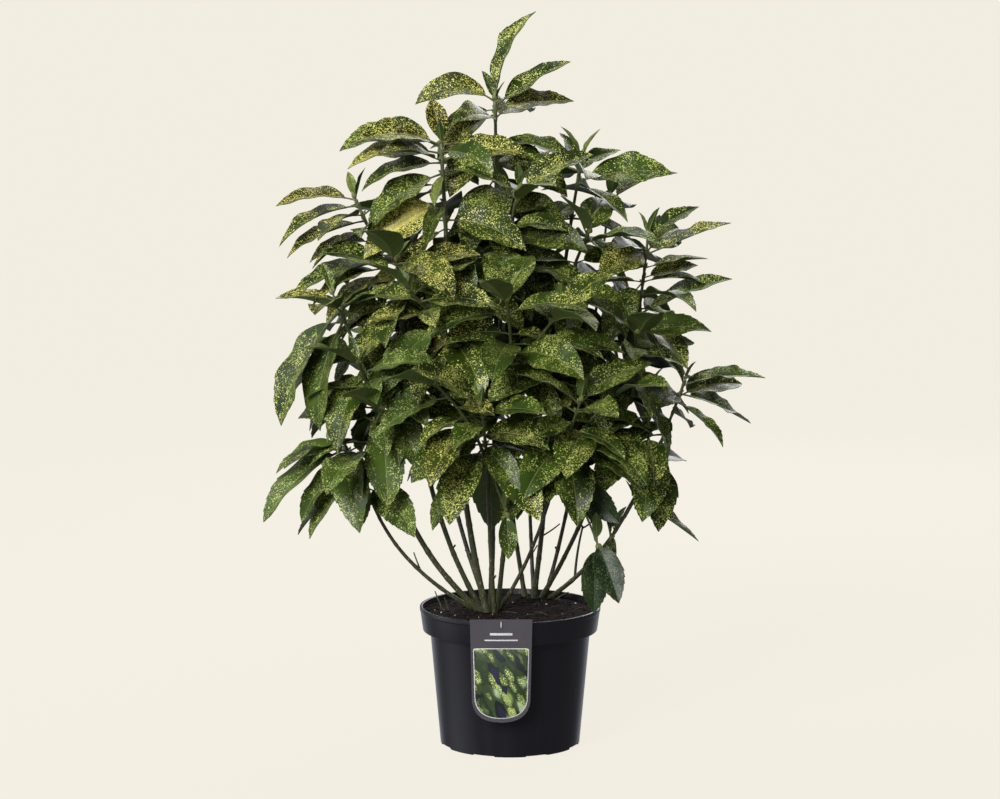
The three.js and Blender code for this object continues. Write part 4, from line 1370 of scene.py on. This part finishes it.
def flat_plate(name, outline, finish, thickness, lift=0.0, bevel=0.15):
    """A thin plate on the card's face, from an outline across and up."""
    bm = bmesh.new()
    front = CARD_FACE - lift
    face = bm.faces.new([bm.verts.new(((x + LABEL_LEFT) * MM, front * MM, z * MM)) for x, z in outline])
    wall = bmesh.ops.extrude_face_region(bm, geom=[face])
    moved = [item for item in wall["geom"] if isinstance(item, bmesh.types.BMVert)]
    bmesh.ops.translate(bm, verts=moved, vec=(0, -thickness * MM, 0))
    bmesh.ops.recalc_face_normals(bm, faces=bm.faces)
    rim = [edge for edge in bm.edges if all(vertex in moved for vertex in edge.verts)]
    bmesh.ops.bevel(bm, geom=rim, offset=bevel * MM, offset_type="OFFSET", segments=2, profile=0.5,
                    affect="EDGES", material=-1, clamp_overlap=True)
    settle(piece_from(bm, name, finish), "label")


def panel_finish():
    """A printed thicket of slanting leaf-like patches in many greens, most of them freckled."""
    finish = Finish("label_panel", roughness=0.35, specular=0.45)
    x, z = finish.part(finish.places, "X"), finish.part(finish.places, "Z")
    drift = finish.noise(60, 3) * 0.9
    slant = {0: x * 84 + z * 48 + drift, 1: z * 34 - x * 23 + drift}
    plan = finish.add("ShaderNodeCombineXYZ", values=slant)
    distance, cell = finish.cells(1, plan)
    kind, tone = finish.part(cell, "X"), finish.part(cell, "Y")
    grain = finish.noise(260, 3)
    colour = finish.mix(tone * 0.7 + grain * 0.5, (0.020, 0.050, 0.016), (0.22, 0.31, 0.09))
    colour = finish.mix((kind > 0.90) * grain, colour, (0.42, 0.54, 0.34))
    colour = finish.mix(kind < 0.16, colour, (0.020, 0.018, 0.045))
    edge = finish.step(distance, 0.34, 0.62)
    colour = finish.mix(edge * 0.85, colour, (0.008, 0.016, 0.010))
    dots, tint = finish.spots(520, 0.8, 0.35, 0.65, warped(finish, 400, 0.002))
    freckled = (1 - edge) * (kind > 0.24) * (kind < 0.90)
    freckle = finish.mix(tint, (0.80, 0.80, 0.32), (0.34, 0.42, 0.13))
    finish.wear("Base Color", finish.mix(dots * freckled, colour, freckle))
    finish.bump(finish.noise(600, 2), 0.00005, 0.4)
    return finish.material


pale_print = plain_finish("pale_print", (0.55, 0.55, 0.56), 0.5, 500, 0.00005)
flat_plate("label_border", panel_outline(1.1), pale_print, 0.16)
flat_plate("label_picture", panel_outline(), panel_finish(), 0.16, lift=0.1)
for bar, (half, height, tall) in enumerate([(17, 196.5, 3.6), (25, 188.0, 2.0)]):
    flat_plate(f"label_bar_{bar + 1}", [(-half, height), (-half, height + tall), (half, height + tall),
                                         (half, height)], pale_print, 0.14, bevel=0.1)

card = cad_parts["plant_label"]
card.data.materials.clear()
card.data.materials.append(plain_finish("card_grey", (0.062, 0.058, 0.068), 0.42, 600, 0.00008, 0.3))
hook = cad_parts["label_hook"]
hook.data.materials.clear()
hook.data.materials.append(plain_finish("hook_pale", (0.62, 0.60, 0.57), 0.3, 800, 0.00003))


# Floor

floor_bm = bmesh.new()
bmesh.ops.create_grid(floor_bm, x_segments=1, y_segments=1, size=400)
floor = piece_from(floor_bm, "floor", floor_finish())
floor.visible_diffuse = False
floor.visible_glossy = False
